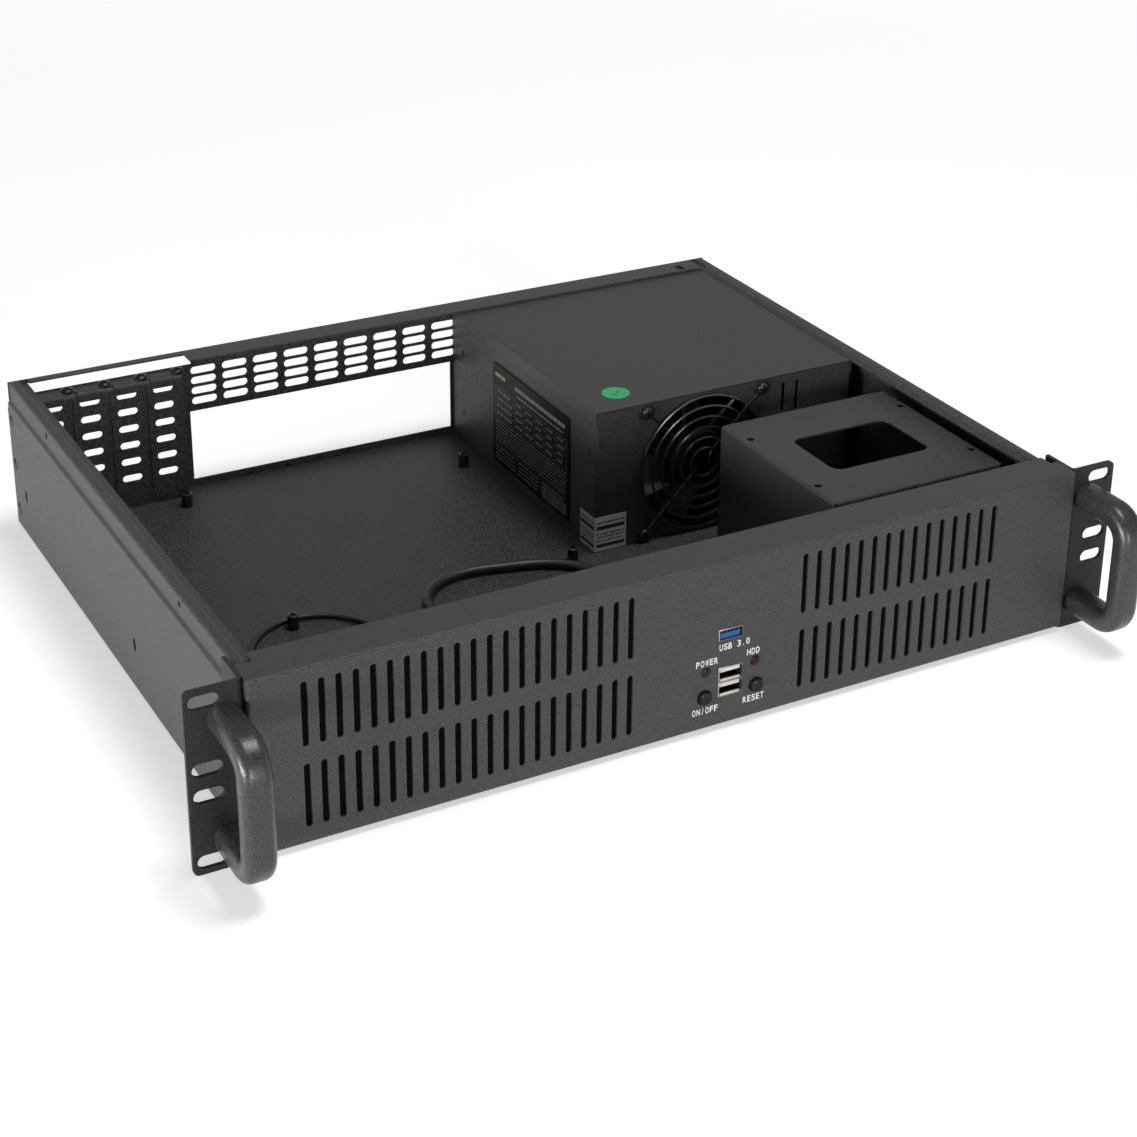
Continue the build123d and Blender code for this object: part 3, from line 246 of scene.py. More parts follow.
@dataclass(frozen=True)
class Finish:
    """A surface finish with its own procedural material, by itself that of moulded plastic.

    The colour moves between the two tones, and the roughness sways from its middle by the two numbers of sway.
    """

    name: str
    colour: Colour
    roughness: float = 0.5
    specular: float = 0.5
    cloud_mm: float = 9.0
    grain_mm: float = 0.5
    relief_mm: float = 0.01
    tones: Pair = (0.85, 1.15)
    sway: Pair = (-0.06, 0.06)

    def material(self) -> Material:
        """The finish's material, made once."""
        return bpy.data.materials.get(self.name) or self.build(Graph(bpy.data.materials.new(self.name)))

    def tint(self, graph: Graph, factor: Signal) -> Signal:
        """Colour that a signal moves from its dark to its light tone."""
        return graph.mix(factor, *(shade(self.colour, tone) for tone in self.tones))

    def gloss(self, signal: Signal) -> Signal:
        """Roughness that sways with a signal."""
        return self.roughness + self.sway[0] + signal * (self.sway[1] - self.sway[0])

    def paint(self, graph: Graph, colour: Signal, rough: Signal, relief: Optional[Signal] = None,
              **more: Any) -> Material:
        """Closes the graph.

        Args:
            graph: The material's nodes.
            colour: Its colour.
            rough: Signal that the roughness sways with.
            relief: Height of the relief, if it has one.
            more: Further sockets of the shader.

        Returns:
            The finished material.
        """
        if relief is not None:
            more["Normal"] = graph.bump(relief, self.relief_mm)
        return graph.surface(Base_Color=colour, Roughness=self.gloss(rough), Specular_IOR_Level=self.specular, **more)

    def build(self, graph: Graph) -> Material:
        """Plain moulded surface with a faint cloudiness."""
        cloud = graph.noise(self.cloud_mm)
        return self.paint(graph, self.tint(graph, cloud), cloud, graph.noise(self.grain_mm))


@dataclass(frozen=True)
class PowderCoat(Finish):
    """Textured powder coat: fine orange-peel grain, lighter speckle and faint dusty clouds."""

    specular: float = 0.35
    cloud_mm: float = 60.0
    grain_mm: float = 0.7
    relief_mm: float = 0.07
    tones: Pair = (0.3, 1.7)
    sway: Pair = (-0.15, 0.15)
    fleck_share: float = 0.5
    fleck_tone: float = 1.9
    dust_share: float = 0.2
    dust_tone: float = 1.2

    def build(self, graph: Graph) -> Material:
        """Grain from two noises drives colour, roughness and relief."""
        grain = graph.ramp(graph.noise(self.grain_mm), (0.34, 0.0), (0.66, 1.0))
        fleck = graph.ramp(graph.noise(self.grain_mm * 0.9, 1.0), (0.58, 0.0), (0.72, 1.0)) * self.fleck_share
        lit = graph.mix(fleck, self.tint(graph, grain), shade(self.colour, self.fleck_tone))
        dust = graph.noise(self.cloud_mm) * self.dust_share
        return self.paint(graph, graph.mix(dust, lit, shade(self.colour, self.dust_tone)), grain, grain + fleck)


@dataclass(frozen=True)
class Lacquer(Finish):
    """Semi-gloss lacquer over a cast or drawn bar, with a fine pebble."""

    coat: float = 0.5
    coat_roughness: float = 0.22
    cloud_mm: float = 14.0
    grain_mm: float = 1.0
    relief_mm: float = 0.018
    tones: Pair = (0.72, 1.28)
    sway: Pair = (-0.05, 0.05)

    def build(self, graph: Graph) -> Material:
        """Pebble relief under a thin clear coat."""
        pebble = graph.ramp(graph.noise(self.grain_mm), (0.34, 0.0), (0.66, 1.0))
        return self.paint(graph, self.tint(graph, pebble), graph.noise(self.cloud_mm, 3.0), pebble,
                          Coat_Weight=self.coat, Coat_Roughness=self.coat_roughness)


@dataclass(frozen=True)
class Metal(Finish):
    """Plated, drawn or turned metal with fine tool lines."""

    metallic: float = 1.0
    lines: Point = (1.0, 1.0, 0.08)
    cloud_mm: float = 3.0
    grain_mm: float = 0.25
    relief_mm: float = 0.006
    tones: Pair = (0.8, 1.08)
    sway: Pair = (-0.08, 0.08)

    def build(self, graph: Graph) -> Material:
        """Stretched noise gives the tool lines, a cloud the tarnish."""
        streak = graph.noise(self.grain_mm, 3.0, self.lines)
        return self.paint(graph, self.tint(graph, graph.noise(self.cloud_mm)), streak, streak, Metallic=self.metallic)


@dataclass(frozen=True)
class Lens(Finish):
    """Tinted clear plastic of a signal lamp."""

    clear: float = 0.1
    refraction: float = 1.49
    skin: Pair = (0.03, 0.04)
    cloud_mm: float = 1.2
    tones: Pair = (0.8, 1.2)
    sway: Pair = (0.0, 0.04)

    def build(self, graph: Graph) -> Material:
        """Partly see-through tint with a glossy skin and no relief."""
        cloud = graph.noise(self.cloud_mm)
        return self.paint(graph, self.tint(graph, cloud), cloud, IOR=self.refraction, Transmission_Weight=self.clear,
                          Coat_Weight=self.skin[0] + cloud * self.skin[1])


@dataclass(frozen=True)
class Print(Finish):
    """Screen-printed ink or printed label face."""

    grain_mm: float = 0.35
    relief_mm: float = 0.004
    tones: Pair = (0.93, 1.0)
    sway: Pair = (0.0, 0.08)

    def build(self, graph: Graph) -> Material:
        """Slightly uneven ink."""
        cover = graph.ramp(graph.noise(self.grain_mm), (0.3, 0.0), (0.5, 1.0))
        return self.paint(graph, self.tint(graph, cover), cover, cover)


@dataclass(frozen=True)
class SolderMask(Finish):
    """Circuit board: green mask with raised copper tracks."""

    cloud_mm: float = 6.0
    relief_mm: float = 0.03
    tones: Pair = (0.8, 1.2)
    sway: Pair = (0.0, 0.1)
    track_tone: float = 1.9
    track_scale: float = 160.0
    track_bend: float = 2.5

    def build(self, graph: Graph) -> Material:
        """Tracks from a grid of thin bands broken by noise."""
        bands = graph.signal("TexWave", {"Vector": graph.place(), "Scale": self.track_scale,
                                         "Distortion": self.track_bend, "Detail": 1.0}, 1, bands_direction="X")
        tracks, cloud = graph.ramp(bands, (0.55, 0.0), (0.62, 1.0)), graph.noise(self.cloud_mm)
        copper = graph.mix(tracks, self.tint(graph, cloud), shade(self.colour, self.track_tone))
        return self.paint(graph, copper, cloud, tracks)


@dataclass(frozen=True)
class Sheath(Finish):
    """Matt sheath of a lead with faint extrusion lines."""

    cloud_mm: float = 16.0
    grain_mm: float = 0.6
    relief_mm: float = 0.03
    tones: Pair = (0.8, 1.6)
    sway: Pair = (0.0, 0.12)

    def build(self, graph: Graph) -> Material:
        """Fine rubbery grain and soft wear."""
        grain = graph.noise(self.grain_mm, 3.0)
        return self.paint(graph, self.tint(graph, graph.noise(self.cloud_mm)), grain, grain)


COAT = PowderCoat("powder_coat_black", (0.044, 0.044, 0.045), 0.5)
# Painted shade: a darker copy of the panel's powder coat for the ears, standing in for the shade of the handles.
SHADED_EAR_COAT = PowderCoat("powder_coat_ear_painted_shade", (0.022, 0.022, 0.023), 0.5, specular=0.2)
BODY_COAT = PowderCoat("powder_coat_body", (0.044, 0.044, 0.045), 0.52, grain_mm=1.1, relief_mm=0.09)
SUPPLY_COAT = PowderCoat("powder_coat_supply", (0.038, 0.038, 0.039), 0.5, grain_mm=0.8, relief_mm=0.03,
                         tones=(0.6, 1.4))
HANDLE_COAT = Lacquer("handle_lacquer", (0.026, 0.026, 0.027), 0.36, coat=0.15, relief_mm=0.03, tones=(0.4, 1.6))
# Painted shade: a near-black matt sheet behind the vents, in place of the shade inside the case.
VENT_SHADE_SHEET = Print("vent_painted_shade_black", (0.006, 0.006, 0.006), 0.9, specular=0.0)
BLACK_SCREW = Metal("screw_black_oxide", (0.05, 0.05, 0.053), 0.32, metallic=0.7)
GUARD_WIRE = Lacquer("guard_black_wire", (0.012, 0.012, 0.012), 0.18, coat=0.9)
NICKEL = Metal("port_nickel", (0.5, 0.48, 0.45), 0.3)
ZINC = Metal("zinc_steel", (0.55, 0.56, 0.58), 0.32)
GOLD = Metal("contact_gold", (0.62, 0.42, 0.2), 0.3)
PLASTIC = Finish("moulded_black", (0.02, 0.02, 0.021), 0.42)
FAN_PLASTIC = Finish("fan_gloss_black", (0.014, 0.014, 0.015), 0.36)
BUTTON_PLASTIC = Finish("button_gloss_black", (0.008, 0.008, 0.008), 0.26, specular=0.2)
# Painted shade: black that stands for shade, inside the ports' cells and under the supply cover's lip.
SHADE_BLACK = Finish("painted_shade_black", (0.012, 0.011, 0.01), 0.5)
PORT_BLUE = Finish("port_tongue_blue", (0.012, 0.1, 0.33), 0.38)
PORT_WHITE = Finish("port_tongue_white", (0.74, 0.7, 0.63), 0.4)
GREEN_LENS = Lens("lamp_clear_green", (0.014, 0.016, 0.011), 0.16, specular=0.12)
RED_LENS = Lens("lamp_dark_red", (0.022, 0.003, 0.003), 0.16, specular=0.12)
WHITE_INK = Print("white_ink", (0.85, 0.85, 0.84), 0.5)
LABEL_BLACK = Print("label_black", (0.004, 0.004, 0.004), 0.3, specular=0.06)
LABEL_INK = Print("label_grey_ink", (0.25, 0.25, 0.245), 0.45)
LABEL_GOLD = Print("label_gold_ink", (0.5, 0.44, 0.2), 0.4)
STICKER_GREEN = Print("sticker_green", (0.018, 0.43, 0.15), 0.4)
SEAL_SILVER = Print("seal_silver", (0.6, 0.6, 0.59), 0.36)
SEAL_BLACK = Print("seal_black_ink", (0.02, 0.02, 0.02), 0.45)
MASK_GREEN = SolderMask("board_green", (0.02, 0.1, 0.04), 0.35)
CORD_SHEATH = Sheath("lead_sheath_black", (0.016, 0.016, 0.016), 0.4)


class Workpiece:
    """A mesh in the making, in millimetres from the ears' front faces."""

    def __init__(self) -> None:
        """Starts empty."""
        self.mesh = bmesh.new()

    def add(self, part: Mesh, move: Matrix = Matrix.Identity(4)) -> "Workpiece":
        """Moves another mesh and joins it to this one."""
        part.transform(move)
        held = stored(part, "held")
        self.mesh.from_mesh(held)
        bpy.data.meshes.remove(held)
        return self

    def block(self, low: Point, high: Point, edge: float = 0.0, steps: int = 2) -> "Workpiece":
        """Adds a block.

        Args:
            low: Its lowest corner.
            high: Its highest corner.
            edge: Radius of its edges.
            steps: Segments of their rounding.

        Returns:
            This workpiece.
        """
        part = bmesh.new()
        bmesh.ops.create_cube(part, size=1.0)
        size = [high[i] - low[i] for i in range(3)]
        centre = [(high[i] + low[i]) / 2 for i in range(3)]
        part.transform(Matrix.Translation(centre) @ Matrix.Diagonal((*size, 1.0)))
        if edge:
            bmesh.ops.bevel(part, geom=part.edges[:], offset=edge, segments=steps, profile=0.5,
                            affect="EDGES", material=-1)
        return self.add(part)

    def turned(self, profile: Sequence[Pair], at: Point, way: Axis, steps: int = 32) -> "Workpiece":
        """Adds a turned part.

        Args:
            profile: Pairs of radius and height along the axis, from one end to the other.
            at: Where height nought lies.
            way: Direction of rising height.
            steps: Segments round the axis.

        Returns:
            This workpiece.
        """
        part = bmesh.new()
        dots = [part.verts.new((radius, 0.0, height)) for radius, height in profile]
        lines = [part.edges.new(pair) for pair in zip(dots, dots[1:])]
        bmesh.ops.spin(part, geom=dots + lines, cent=(0, 0, 0), axis=(0, 0, 1), angle=math.tau, steps=steps,
                       use_merge=True)
        bmesh.ops.remove_doubles(part, verts=part.verts[:], dist=WELD)
        bmesh.ops.recalc_face_normals(part, faces=part.faces[:])
        return self.add(part, Matrix.Translation(at) @ way.turn())

    def ring(self, at: Point, way: Axis, radius: float, wire: float, steps: int = 64) -> "Workpiece":
        """Adds a round ring of wire with eight sides."""
        angles = [math.tau * i / 8 for i in range(9)]
        return self.turned([(radius + wire * math.cos(a), wire * math.sin(a)) for a in angles], at, way, steps)

    def bent_wire(self, points: Sequence[tuple[Point, Point, Point]], wire: float) -> "Workpiece":
        """Adds a wire along Bezier knots, each with its left handle, point and right handle."""
        curve = bpy.data.curves.new("wire", "CURVE")
        curve.dimensions = "3D"
        curve.bevel_depth = wire
        curve.bevel_resolution = 3
        curve.resolution_u = 10
        curve.use_fill_caps = True
        spline = curve.splines.new("BEZIER")
        spline.bezier_points.add(len(points) - 1)
        for knot, (left, middle, right) in zip(spline.bezier_points, points):
            knot.handle_left, knot.co, knot.handle_right = left, middle, right
        return self.add(mesh_of(curve))

    def finish(self, name: str, look: Finish, slot: Slot, body: Body = Body.CASE,
               nodes: Sequence[str] = ()) -> Item:
        """Turns the workpiece into a piece of the scene.

        Args:
            name: Name of the piece.
            look: Its finish.
            slot: The record's material slot; not used.
            body: Body that it rides on.
            nodes: CAD nodes that it stands for.

        Returns:
            The new object.
        """
        self.mesh.transform(TO_FRAME)
        for face in self.mesh.faces:
            face.smooth = True
        for edge in self.mesh.edges:
            if len(edge.link_faces) == 2:
                edge.smooth = edge.calc_face_angle(0.0) < SHARP_ANGLE
        data = stored(self.mesh, name)
        data.materials.append(look.material())
        return settle(shown(name, data), body, nodes)


def settle(made: Item, body: Body, nodes: Sequence[str] = ()) -> Item:
    """Lets a piece ride on its body and stand for its nodes."""
    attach(made, body.value)
    if nodes:
        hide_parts(*nodes)
    LOG.info("piece %s on %s", made.name, body.value)
    return made


def shown(name: str, data: bpy.types.ID) -> Item:
    """New object in the scene."""
    made = bpy.data.objects.new(name, data)
    bpy.context.collection.objects.link(made)
    return made


def stored(part: Mesh, name: str) -> bpy.types.Mesh:
    """Mesh data of a bmesh, which is freed."""
    data = bpy.data.meshes.new(name)
    part.to_mesh(data)
    part.free()
    return data


def worked_out(holder: Item) -> Mesh:
    """Mesh of an object with its modifiers or bevel applied, as a new bmesh."""
    graph = bpy.context.evaluated_depsgraph_get()
    graph.update()
    held = bpy.data.meshes.new_from_object(holder.evaluated_get(graph))
    part = bmesh.new()
    part.from_mesh(held)
    bpy.data.meshes.remove(held)
    return part


def mesh_of(data: bpy.types.ID) -> Mesh:
    """Mesh of a curve or a text, as a new bmesh."""
    holder = shown("holder", data)
    part = worked_out(holder)
    bpy.data.objects.remove(holder)
    return part


def carve(body: Workpiece, cutter: Workpiece) -> Workpiece:
    """Body with the cutter taken away from it."""
    holders = [shown(name, stored(work.mesh, name)) for name, work in (("body", body), ("cutter", cutter))]
    cut = holders[0].modifiers.new("cut", "BOOLEAN")
    cut.operation, cut.object, cut.solver = "DIFFERENCE", holders[1], "EXACT"
    made = Workpiece().add(worked_out(holders[0]))
    for holder in holders:
        bpy.data.objects.remove(holder)
    return made


def dress(look: Finish, *nodes: str) -> None:
    """Gives CAD nodes their finish."""
    for name in nodes:
        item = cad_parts[name]
        if not item.material_slots:
            item.data.materials.append(look.material())
        for holder in item.material_slots:
            holder.material = look.material()
        LOG.info("node %s dressed in %s", name, look.name)


@dataclass
class PanScrew:
    """Pan-head screw with a cross recess, head along +Z from nought; its shares are of the radius or height."""

    radius: float = 3.2
    height: float = 2.0
    recess: float = 0.62
    blade: float = 0.112
    socket: float = 0.3
    brim: float = 0.4
    arc: tuple[int, ...] = (25, 45, 62, 76)
    washer: float = 0.0
    washer_height: float = 0.5
    shank: float = 1.4
    length: float = 3.0

    def make(self) -> Workpiece:
        """Head, recess and a short length of shank."""
        r, h = self.radius, self.height
        dome = [(r * math.cos(a), h * (self.brim + (1 - self.brim) * math.sin(a))) for a in map(math.radians, self.arc)]
        head = [(0.0, -self.length), (self.shank, -self.length), (self.shank, 0.0), (r, 0.0), (r, h * self.brim), *dome,
                (0.0, h)]
        made = Workpiece().turned(head, (0, 0, 0), Axis.UP, 28)
        long, thin, low, high = r * self.recess, r * self.blade, h * self.socket, h + 1.0
        for x, y in ((long, thin), (thin, long)):
            made = carve(made, Workpiece().block((-x, -y, low), (x, y, high)))
        if self.washer:
            out, thick = self.washer, self.washer_height
            made.turned([(r, 0.0), (out, 0.0), (out, thick), (r, thick)], (0, 0, 0), Axis.UP, 28)
        return made

    def row(self, name: str, node: str, seats: Iterable[tuple[Point, Axis]], look: Finish = BLACK_SCREW,
            slot: Slot = Slot.SCREW) -> Item:
        """A set of these screws as one piece.

        Args:
            name: Name of the piece.
            node: CAD node that the set stands for.
            seats: Seat of each head and the direction in which it points.
            look: Finish.
            slot: Material slot.

        Returns:
            The new object.
        """
        master = stored(self.make().mesh, "screw")
        work = Workpiece()
        for place, way in seats:
            copy = bmesh.new()
            copy.from_mesh(master)
            work.add(copy, Matrix.Translation(place) @ way.turn())
        bpy.data.meshes.remove(master)
        return work.finish(name, look, slot, nodes=(node,))


@dataclass
class BodyShell:
    """Folded body, rear panel, expansion slots, rivets and standoffs."""

    floor: float = 3.6
    standoffs: tuple[Pair, ...] = ((-127.84, 326.6), (29.64, 303.74), (-127.84, 171.66), (29.64, 171.66))
    standoff_flats: float = 5.5
    standoff_height: float = 8.0
    shoulder: Pair = (1.0, 0.5)
    foot_chamfer: float = 0.4
    bore: float = 1.3
    bore_end: float = 2.0
    thread_turns: int = 8
    thread_pitch: float = 0.5
    thread_wire: float = 0.16
    slot_start: float = -194.5
    slot_pitch: float = 20.32
    tab: Pair = (344.0, 76.8)
    rivet_y: float = 345.0
    rivet_heights: tuple[float, ...] = (13.4, 39.4, 64.4)
    rivet_head: Profile = ((0.0, -2.0), (1.5, -2.0), (1.5, 0.0), (2.6, 0.0), (2.35, 0.45), (1.5, 0.72), (0.0, 0.8))
    wall: float = 215.0
    window: tuple[Point, Point] = ((-207.7, 347.0, 77.0), (-113.5, 351.0, 83.4))
    pin: Point = (-59.5, 349.0, 5.5)
    pin_head: Profile = ((0.0, -0.8), (1.3, -0.8), (1.3, 0.5), (0.9, 0.9), (0.0, 1.0))

    def build(self) -> None:
        """Dresses the sheets and makes the fixings."""
        dress(BODY_COAT, "body_pan", "slot_frame", *(f"slot_cover_{i}" for i in range(1, 5)))
        self.rear()
        seats = [((self.slot_start + self.slot_pitch * (i - 0.5), *self.tab), Axis.UP) for i in range(5)]
        PanScrew(radius=3.4).row("slot_cover_screws", "slot_screws", seats)
        self.rivets()
        self.posts()

    def rear(self) -> None:
        """Rear panel with the long slot above the ledge, and the small screw on its sill."""
        sheet = bmesh.new()
        sheet.from_mesh(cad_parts["rear_panel"].data)
        panel = carve(Workpiece().add(sheet, TO_FRAME.inverted()), Workpiece().block(*self.window))
        panel.finish("rear_panel_slotted", BODY_COAT, Slot.COAT, nodes=("rear_panel",))
        Workpiece().turned(self.pin_head, self.pin, Axis.FRONT, 20).finish("sill_screw", BLACK_SCREW, Slot.SCREW)

    def rivets(self) -> None:
        """Domed rivet heads on both side walls."""
        work = Workpiece()
        for side, way in SIDES:
            for z in self.rivet_heights:
                work.turned(self.rivet_head, (side * self.wall, self.rivet_y, z), way, 24)
        work.finish("wall_rivets", BODY_COAT, Slot.SCREW, nodes=("side_rivets",))

    def posts(self) -> None:
        """Hexagonal standoffs with chamfered shoulders and threaded bores."""
        work = Workpiece()
        corner = self.standoff_flats / 2 / math.cos(math.pi / 6)
        tall, end, foot, (neck, slope) = self.standoff_height, self.bore_end, self.foot_chamfer, self.shoulder
        hexagon = [(self.bore, end), (self.bore, tall), (corner - neck, tall), (corner, tall - slope), (corner, foot),
                   (corner - foot, 0.0), (0.0, 0.0), (0.0, end), (self.bore, end)]
        for x, y in self.standoffs:
            work.turned(hexagon, (x, y, self.floor), Axis.UP, 6)
            for turn in range(self.thread_turns):
                z = self.floor + tall - self.thread_pitch * (turn + 1)
                work.ring((x, y, z), Axis.UP, self.bore, self.thread_wire, 20)
        work.finish("threaded_standoffs", BLACK_SCREW, Slot.SCREW, nodes=("board_standoffs",))


@dataclass
class Legend:
    """One printed word on the front panel, between its sides and at the middle height of its capitals."""

    words: str
    left: float
    right: float
    middle: float


@dataclass
class FrontPanel:
    """Vented front panel with its ports, lamps, buttons and printed words."""

    face: float = -3.0
    cap_height: float = 3.2
    stroke: float = 0.018
    legends: tuple[Legend, ...] = (Legend("USB 3.0", 11.3, 28.1, 43.8), Legend("POWER", -1.0, 11.2, 37.8),
                                   Legend("HDD", 26.4, 33.8, 37.6), Legend("ON/OFF", -2.3, 11.9, 12.6),
                                   Legend("RESET", 25.2, 37.2, 12.6))
    glyph_share: float = 0.78
    narrow: str = "./"
    narrow_em: float = 0.62
    cap_em: float = 0.69
    text_depth: float = 0.01
    ink: float = 0.04
    lamp_radius: float = 2.45
    lamp_dome: float = 1.0
    lamp_flange: Point = (0.5, -4.0, 1.4)
    cap: Profile = ((0.0, -8.2), (1.5, -8.2), (1.5, -2.2), (3.4, -2.2), (3.4, 4.2), (3.2, 4.7), (2.8, 4.9),
                    (2.3, 4.82), (1.2, 4.6), (0.0, 4.52))
    shade_spans: tuple[Pair, ...] = ((-198.5, -27.3), (48.9, 173.5))
    shade_depth: Pair = (-1.5, 1.5)
    shade_height: Pair = (4.1, 86.6)

    def build(self) -> None:
        """Makes and dresses everything on the panel."""
        dress(COAT, "front_panel")
        dress(MASK_GREEN, "control_board")
        dress(ZINC, "board_posts")
        dress(PLASTIC, "board_sockets", "power_switch_body", "reset_switch_body")
        self.vent_shade_sheets()
        self.lettering()
        self.lamp("power_lens", 4.8, 32.8, GREEN_LENS, Slot.GREEN, "power_lamp")
        self.lamp("drive_lens", 31.3, 32.3, RED_LENS, Slot.RED, "drive_lamp")
        self.button("power_cap", 4.3, 19.6, Body.POWER, "power_button")
        self.button("reset_cap", 32.2, 19.3, Body.RESET, "reset_button")
        UsbPort("usb3", 17.4, 50.2, 5.7, 1, True, "usb3_port").build()
        UsbPort("usb2", 18.0, 25.4, 15.4, 2, False, "usb2_double_port").build()

    def vent_shade_sheets(self) -> None:
        """Painted shade: dark sheets behind the two groups of vents stand in for the shade inside the case."""
        work = Workpiece()
        (front, back), (low, high) = self.shade_depth, self.shade_height
        for left, right in self.shade_spans:
            work.block((left, front, low), (right, back, high), 0.4)
        work.finish("vent_painted_shade", VENT_SHADE_SHEET, Slot.PLASTIC)

    def lettering(self) -> None:
        """Prints the words letter by letter in cells of equal width."""
        work = Workpiece()
        for legend in self.legends:
            pitch = (legend.right - legend.left) / len(legend.words)
            for i, letter in enumerate(legend.words):
                if letter != " ":
                    work.add(self.glyph(letter, legend.left + pitch * (i + 0.5), legend.middle, pitch))
        work.finish("front_lettering", WHITE_INK, Slot.BUTTON)

    def glyph(self, letter: str, x: float, z: float, pitch: float) -> Mesh:
        """One letter, fitted to its cell.

        Args:
            letter: The character.
            x: Middle of the cell.
            z: Middle height of the capitals.
            pitch: Width of the cell.

        Returns:
            The letter's mesh on the panel face.
        """
        text = bpy.data.curves.new("glyph", "FONT")
        text.body, text.offset, text.extrude, text.resolution_u = letter, self.stroke, self.text_depth, 4
        part = mesh_of(text)
        xs, ys = ([v.co[i] for v in part.verts] for i in (0, 1))
        wide = self.narrow_em if letter in self.narrow else max(xs) - min(xs)
        lift = (max(ys) + min(ys)) / 2 if letter == "/" else self.cap_em / 2
        part.transform(Matrix.Translation((-(max(xs) + min(xs)) / 2, -lift, 0.0)))
        shape = Matrix.Diagonal((self.glyph_share * pitch / wide, self.cap_height / self.cap_em,
                                 self.ink / (2 * self.text_depth), 1.0))
        part.transform(Matrix.Translation((x, self.face, z)) @ Matrix.Rotation(math.pi / 2, 4, "X") @ shape)
        return part

    def lamp(self, name: str, x: float, z: float, look: Finish, slot: Slot, node: str) -> None:
        """A domed lamp with its flange behind the panel."""
        r, dome, (rim, back, seat) = self.lamp_radius, self.lamp_dome, self.lamp_flange
        round_end = [(r * math.cos(a), dome * math.sin(a) - self.face) for a in map(math.radians, range(0, 90, 12))]
        profile = [(0.0, back), (r + rim, back), (r + rim, seat), (r, seat), *round_end, (0.0, dome - self.face)]
        Workpiece().turned(profile, (x, 0.0, z), Axis.FRONT, 28).finish(name, look, slot, nodes=(node,))

    def button(self, name: str, x: float, z: float, body: Body, node: str) -> None:
        """A push button: rounded dished cap on a stem."""
        cap = Workpiece().turned(self.cap, (x, 0.0, z), Axis.FRONT, 40)
        cap.finish(name, BUTTON_PLASTIC, Slot.BUTTON, body, (node,))


@dataclass
class UsbPort:
    """Receptacle with a rolled shell, a tongue and its contacts in each cell."""

    name: str
    x: float
    z: float
    tall: float
    cells: int
    blue: bool
    node: str
    wide: float = 13.1
    front: float = -3.4
    back: float = 14.2
    wall: float = 0.35
    cavity_end: float = 5.0
    mouth: float = 1.4
    film: float = 0.12

    def build(self) -> None:
        """Makes the shell, the painted shade inside the cells, the tongues and the contacts."""
        cell = self.tall / self.cells
        shell, shade_lining, tongue, gold = Workpiece(), Workpiece(), Workpiece(), Workpiece()
        for i in range(self.cells):
            low = self.z - self.tall / 2 + cell * i
            shell.add(self.tube(low, low + cell).mesh)
            self.line(low, low + cell, shade_lining)
            self.fill(low, cell, tongue, gold, shade_lining)
        shell.finish(f"{self.name}_shell", NICKEL, Slot.STEEL, nodes=(self.node,))
        shade_lining.finish(f"{self.name}_inner", SHADE_BLACK, Slot.PLASTIC)
        tongue.finish(f"{self.name}_tongue", PORT_BLUE if self.blue else PORT_WHITE, Slot.PLASTIC)
        gold.finish(f"{self.name}_contacts", GOLD, Slot.BRASS)

    def slab(self, work: Workpiece, half: float, depths: Pair, heights: Pair, edge: float = 0.0, steps: int = 2,
             middle: float = 0.0) -> None:
        """Adds a block that reaches equally far to both sides of a middle line.

        Args:
            work: Workpiece that takes it.
            half: Half of its width.
            depths: Its front and back.
            heights: Its foot and top.
            edge: Radius of its edges.
            steps: Segments of their rounding.
            middle: Place of the middle line, from the port's own.
        """
        x, (front, back), (low, high) = self.x + middle, depths, heights
        work.block((x - half, front, low), (x + half, back, high), edge, steps)

    def tube(self, low: float, high: float) -> Workpiece:
        """Shell of one cell: a rounded block hollowed from the front."""
        outer, hollow, half, w = Workpiece(), Workpiece(), self.wide / 2, self.wall
        self.slab(outer, half, (self.front, self.back), (low, high), 0.5, 3)
        self.slab(hollow, half - w, (self.front - 2, self.back - self.cavity_end), (low + w, high - w), 0.2, 1)
        return carve(outer, hollow)

    def line(self, low: float, high: float, dark: Workpiece) -> None:
        """Painted shade: dark lining of one cell, set back from the mouth, in place of the shade inside the shell.

        Args:
            low: Lower edge of the cell.
            high: Its upper edge.
            dark: Workpiece that takes the end, the sides, the floor and the roof.
        """
        half, f, low, high = self.wide / 2 - self.wall, self.film, low + self.wall, high - self.wall
        mouth, end = self.front + self.mouth, self.back - self.cavity_end
        self.slab(dark, half, (end - 0.5, end), (low, high))
        for side in (-1, 1):
            self.slab(dark, f / 2, (mouth, end), (low, high), middle=side * (half - f / 2))
        for foot in (low, high - f):
            self.slab(dark, half, (mouth, end), (foot, foot + f))

    def fill(self, low: float, cell: float, tongue: Workpiece, gold: Workpiece, dark: Workpiece) -> None:
        """Tongue and contacts of one cell.

        Args:
            low: Lower edge of the cell.
            cell: Its height.
            tongue: Workpiece that takes the tongue.
            gold: Workpiece that takes the contacts.
            dark: Workpiece that takes the dark ribs under the roof, painted shade between the contacts.
        """
        side, roof, front = self.wide / 2 - self.wall - 0.8, low + cell - self.wall, self.front
        if self.blue:
            bottom, top = low + 0.55, low + cell * 0.6
            face, ribs, lift = top, 9, self.film
            # Painted shade: a dark block and dark ribs fill the cavity above the tongue, where shade falls between the
            # contacts.
            self.slab(dark, side, (front + 0.8, front + 6.0), (top + 1.1, roof), 0.1)
            for i in range(-2, 3):
                self.slab(dark, 0.45, (front + 0.7, front + 6.0), (top - 0.1, roof), 0.1, middle=side * 0.4 * i)
        else:
            bottom, top = low + cell * 0.62, low + cell - 1.0
            face, ribs, lift = bottom, 4, -self.film
            self.slab(tongue, side, (front + 0.5, front + 1.6), (low + self.wall, low + 1.3), 0.15)
        self.slab(tongue, side, (front + 0.9, self.back - 5.2), (bottom, top), 0.22)
        pitch = 2 * side / ribs
        heights = (min(face, face + lift) - 0.02, max(face, face + lift) + 0.02)
        for i in range(ribs):
            self.slab(gold, pitch * 0.24, (front + 1.3, self.back - 6.0), heights, 0.05, 1, pitch * (i + 0.5) - side)


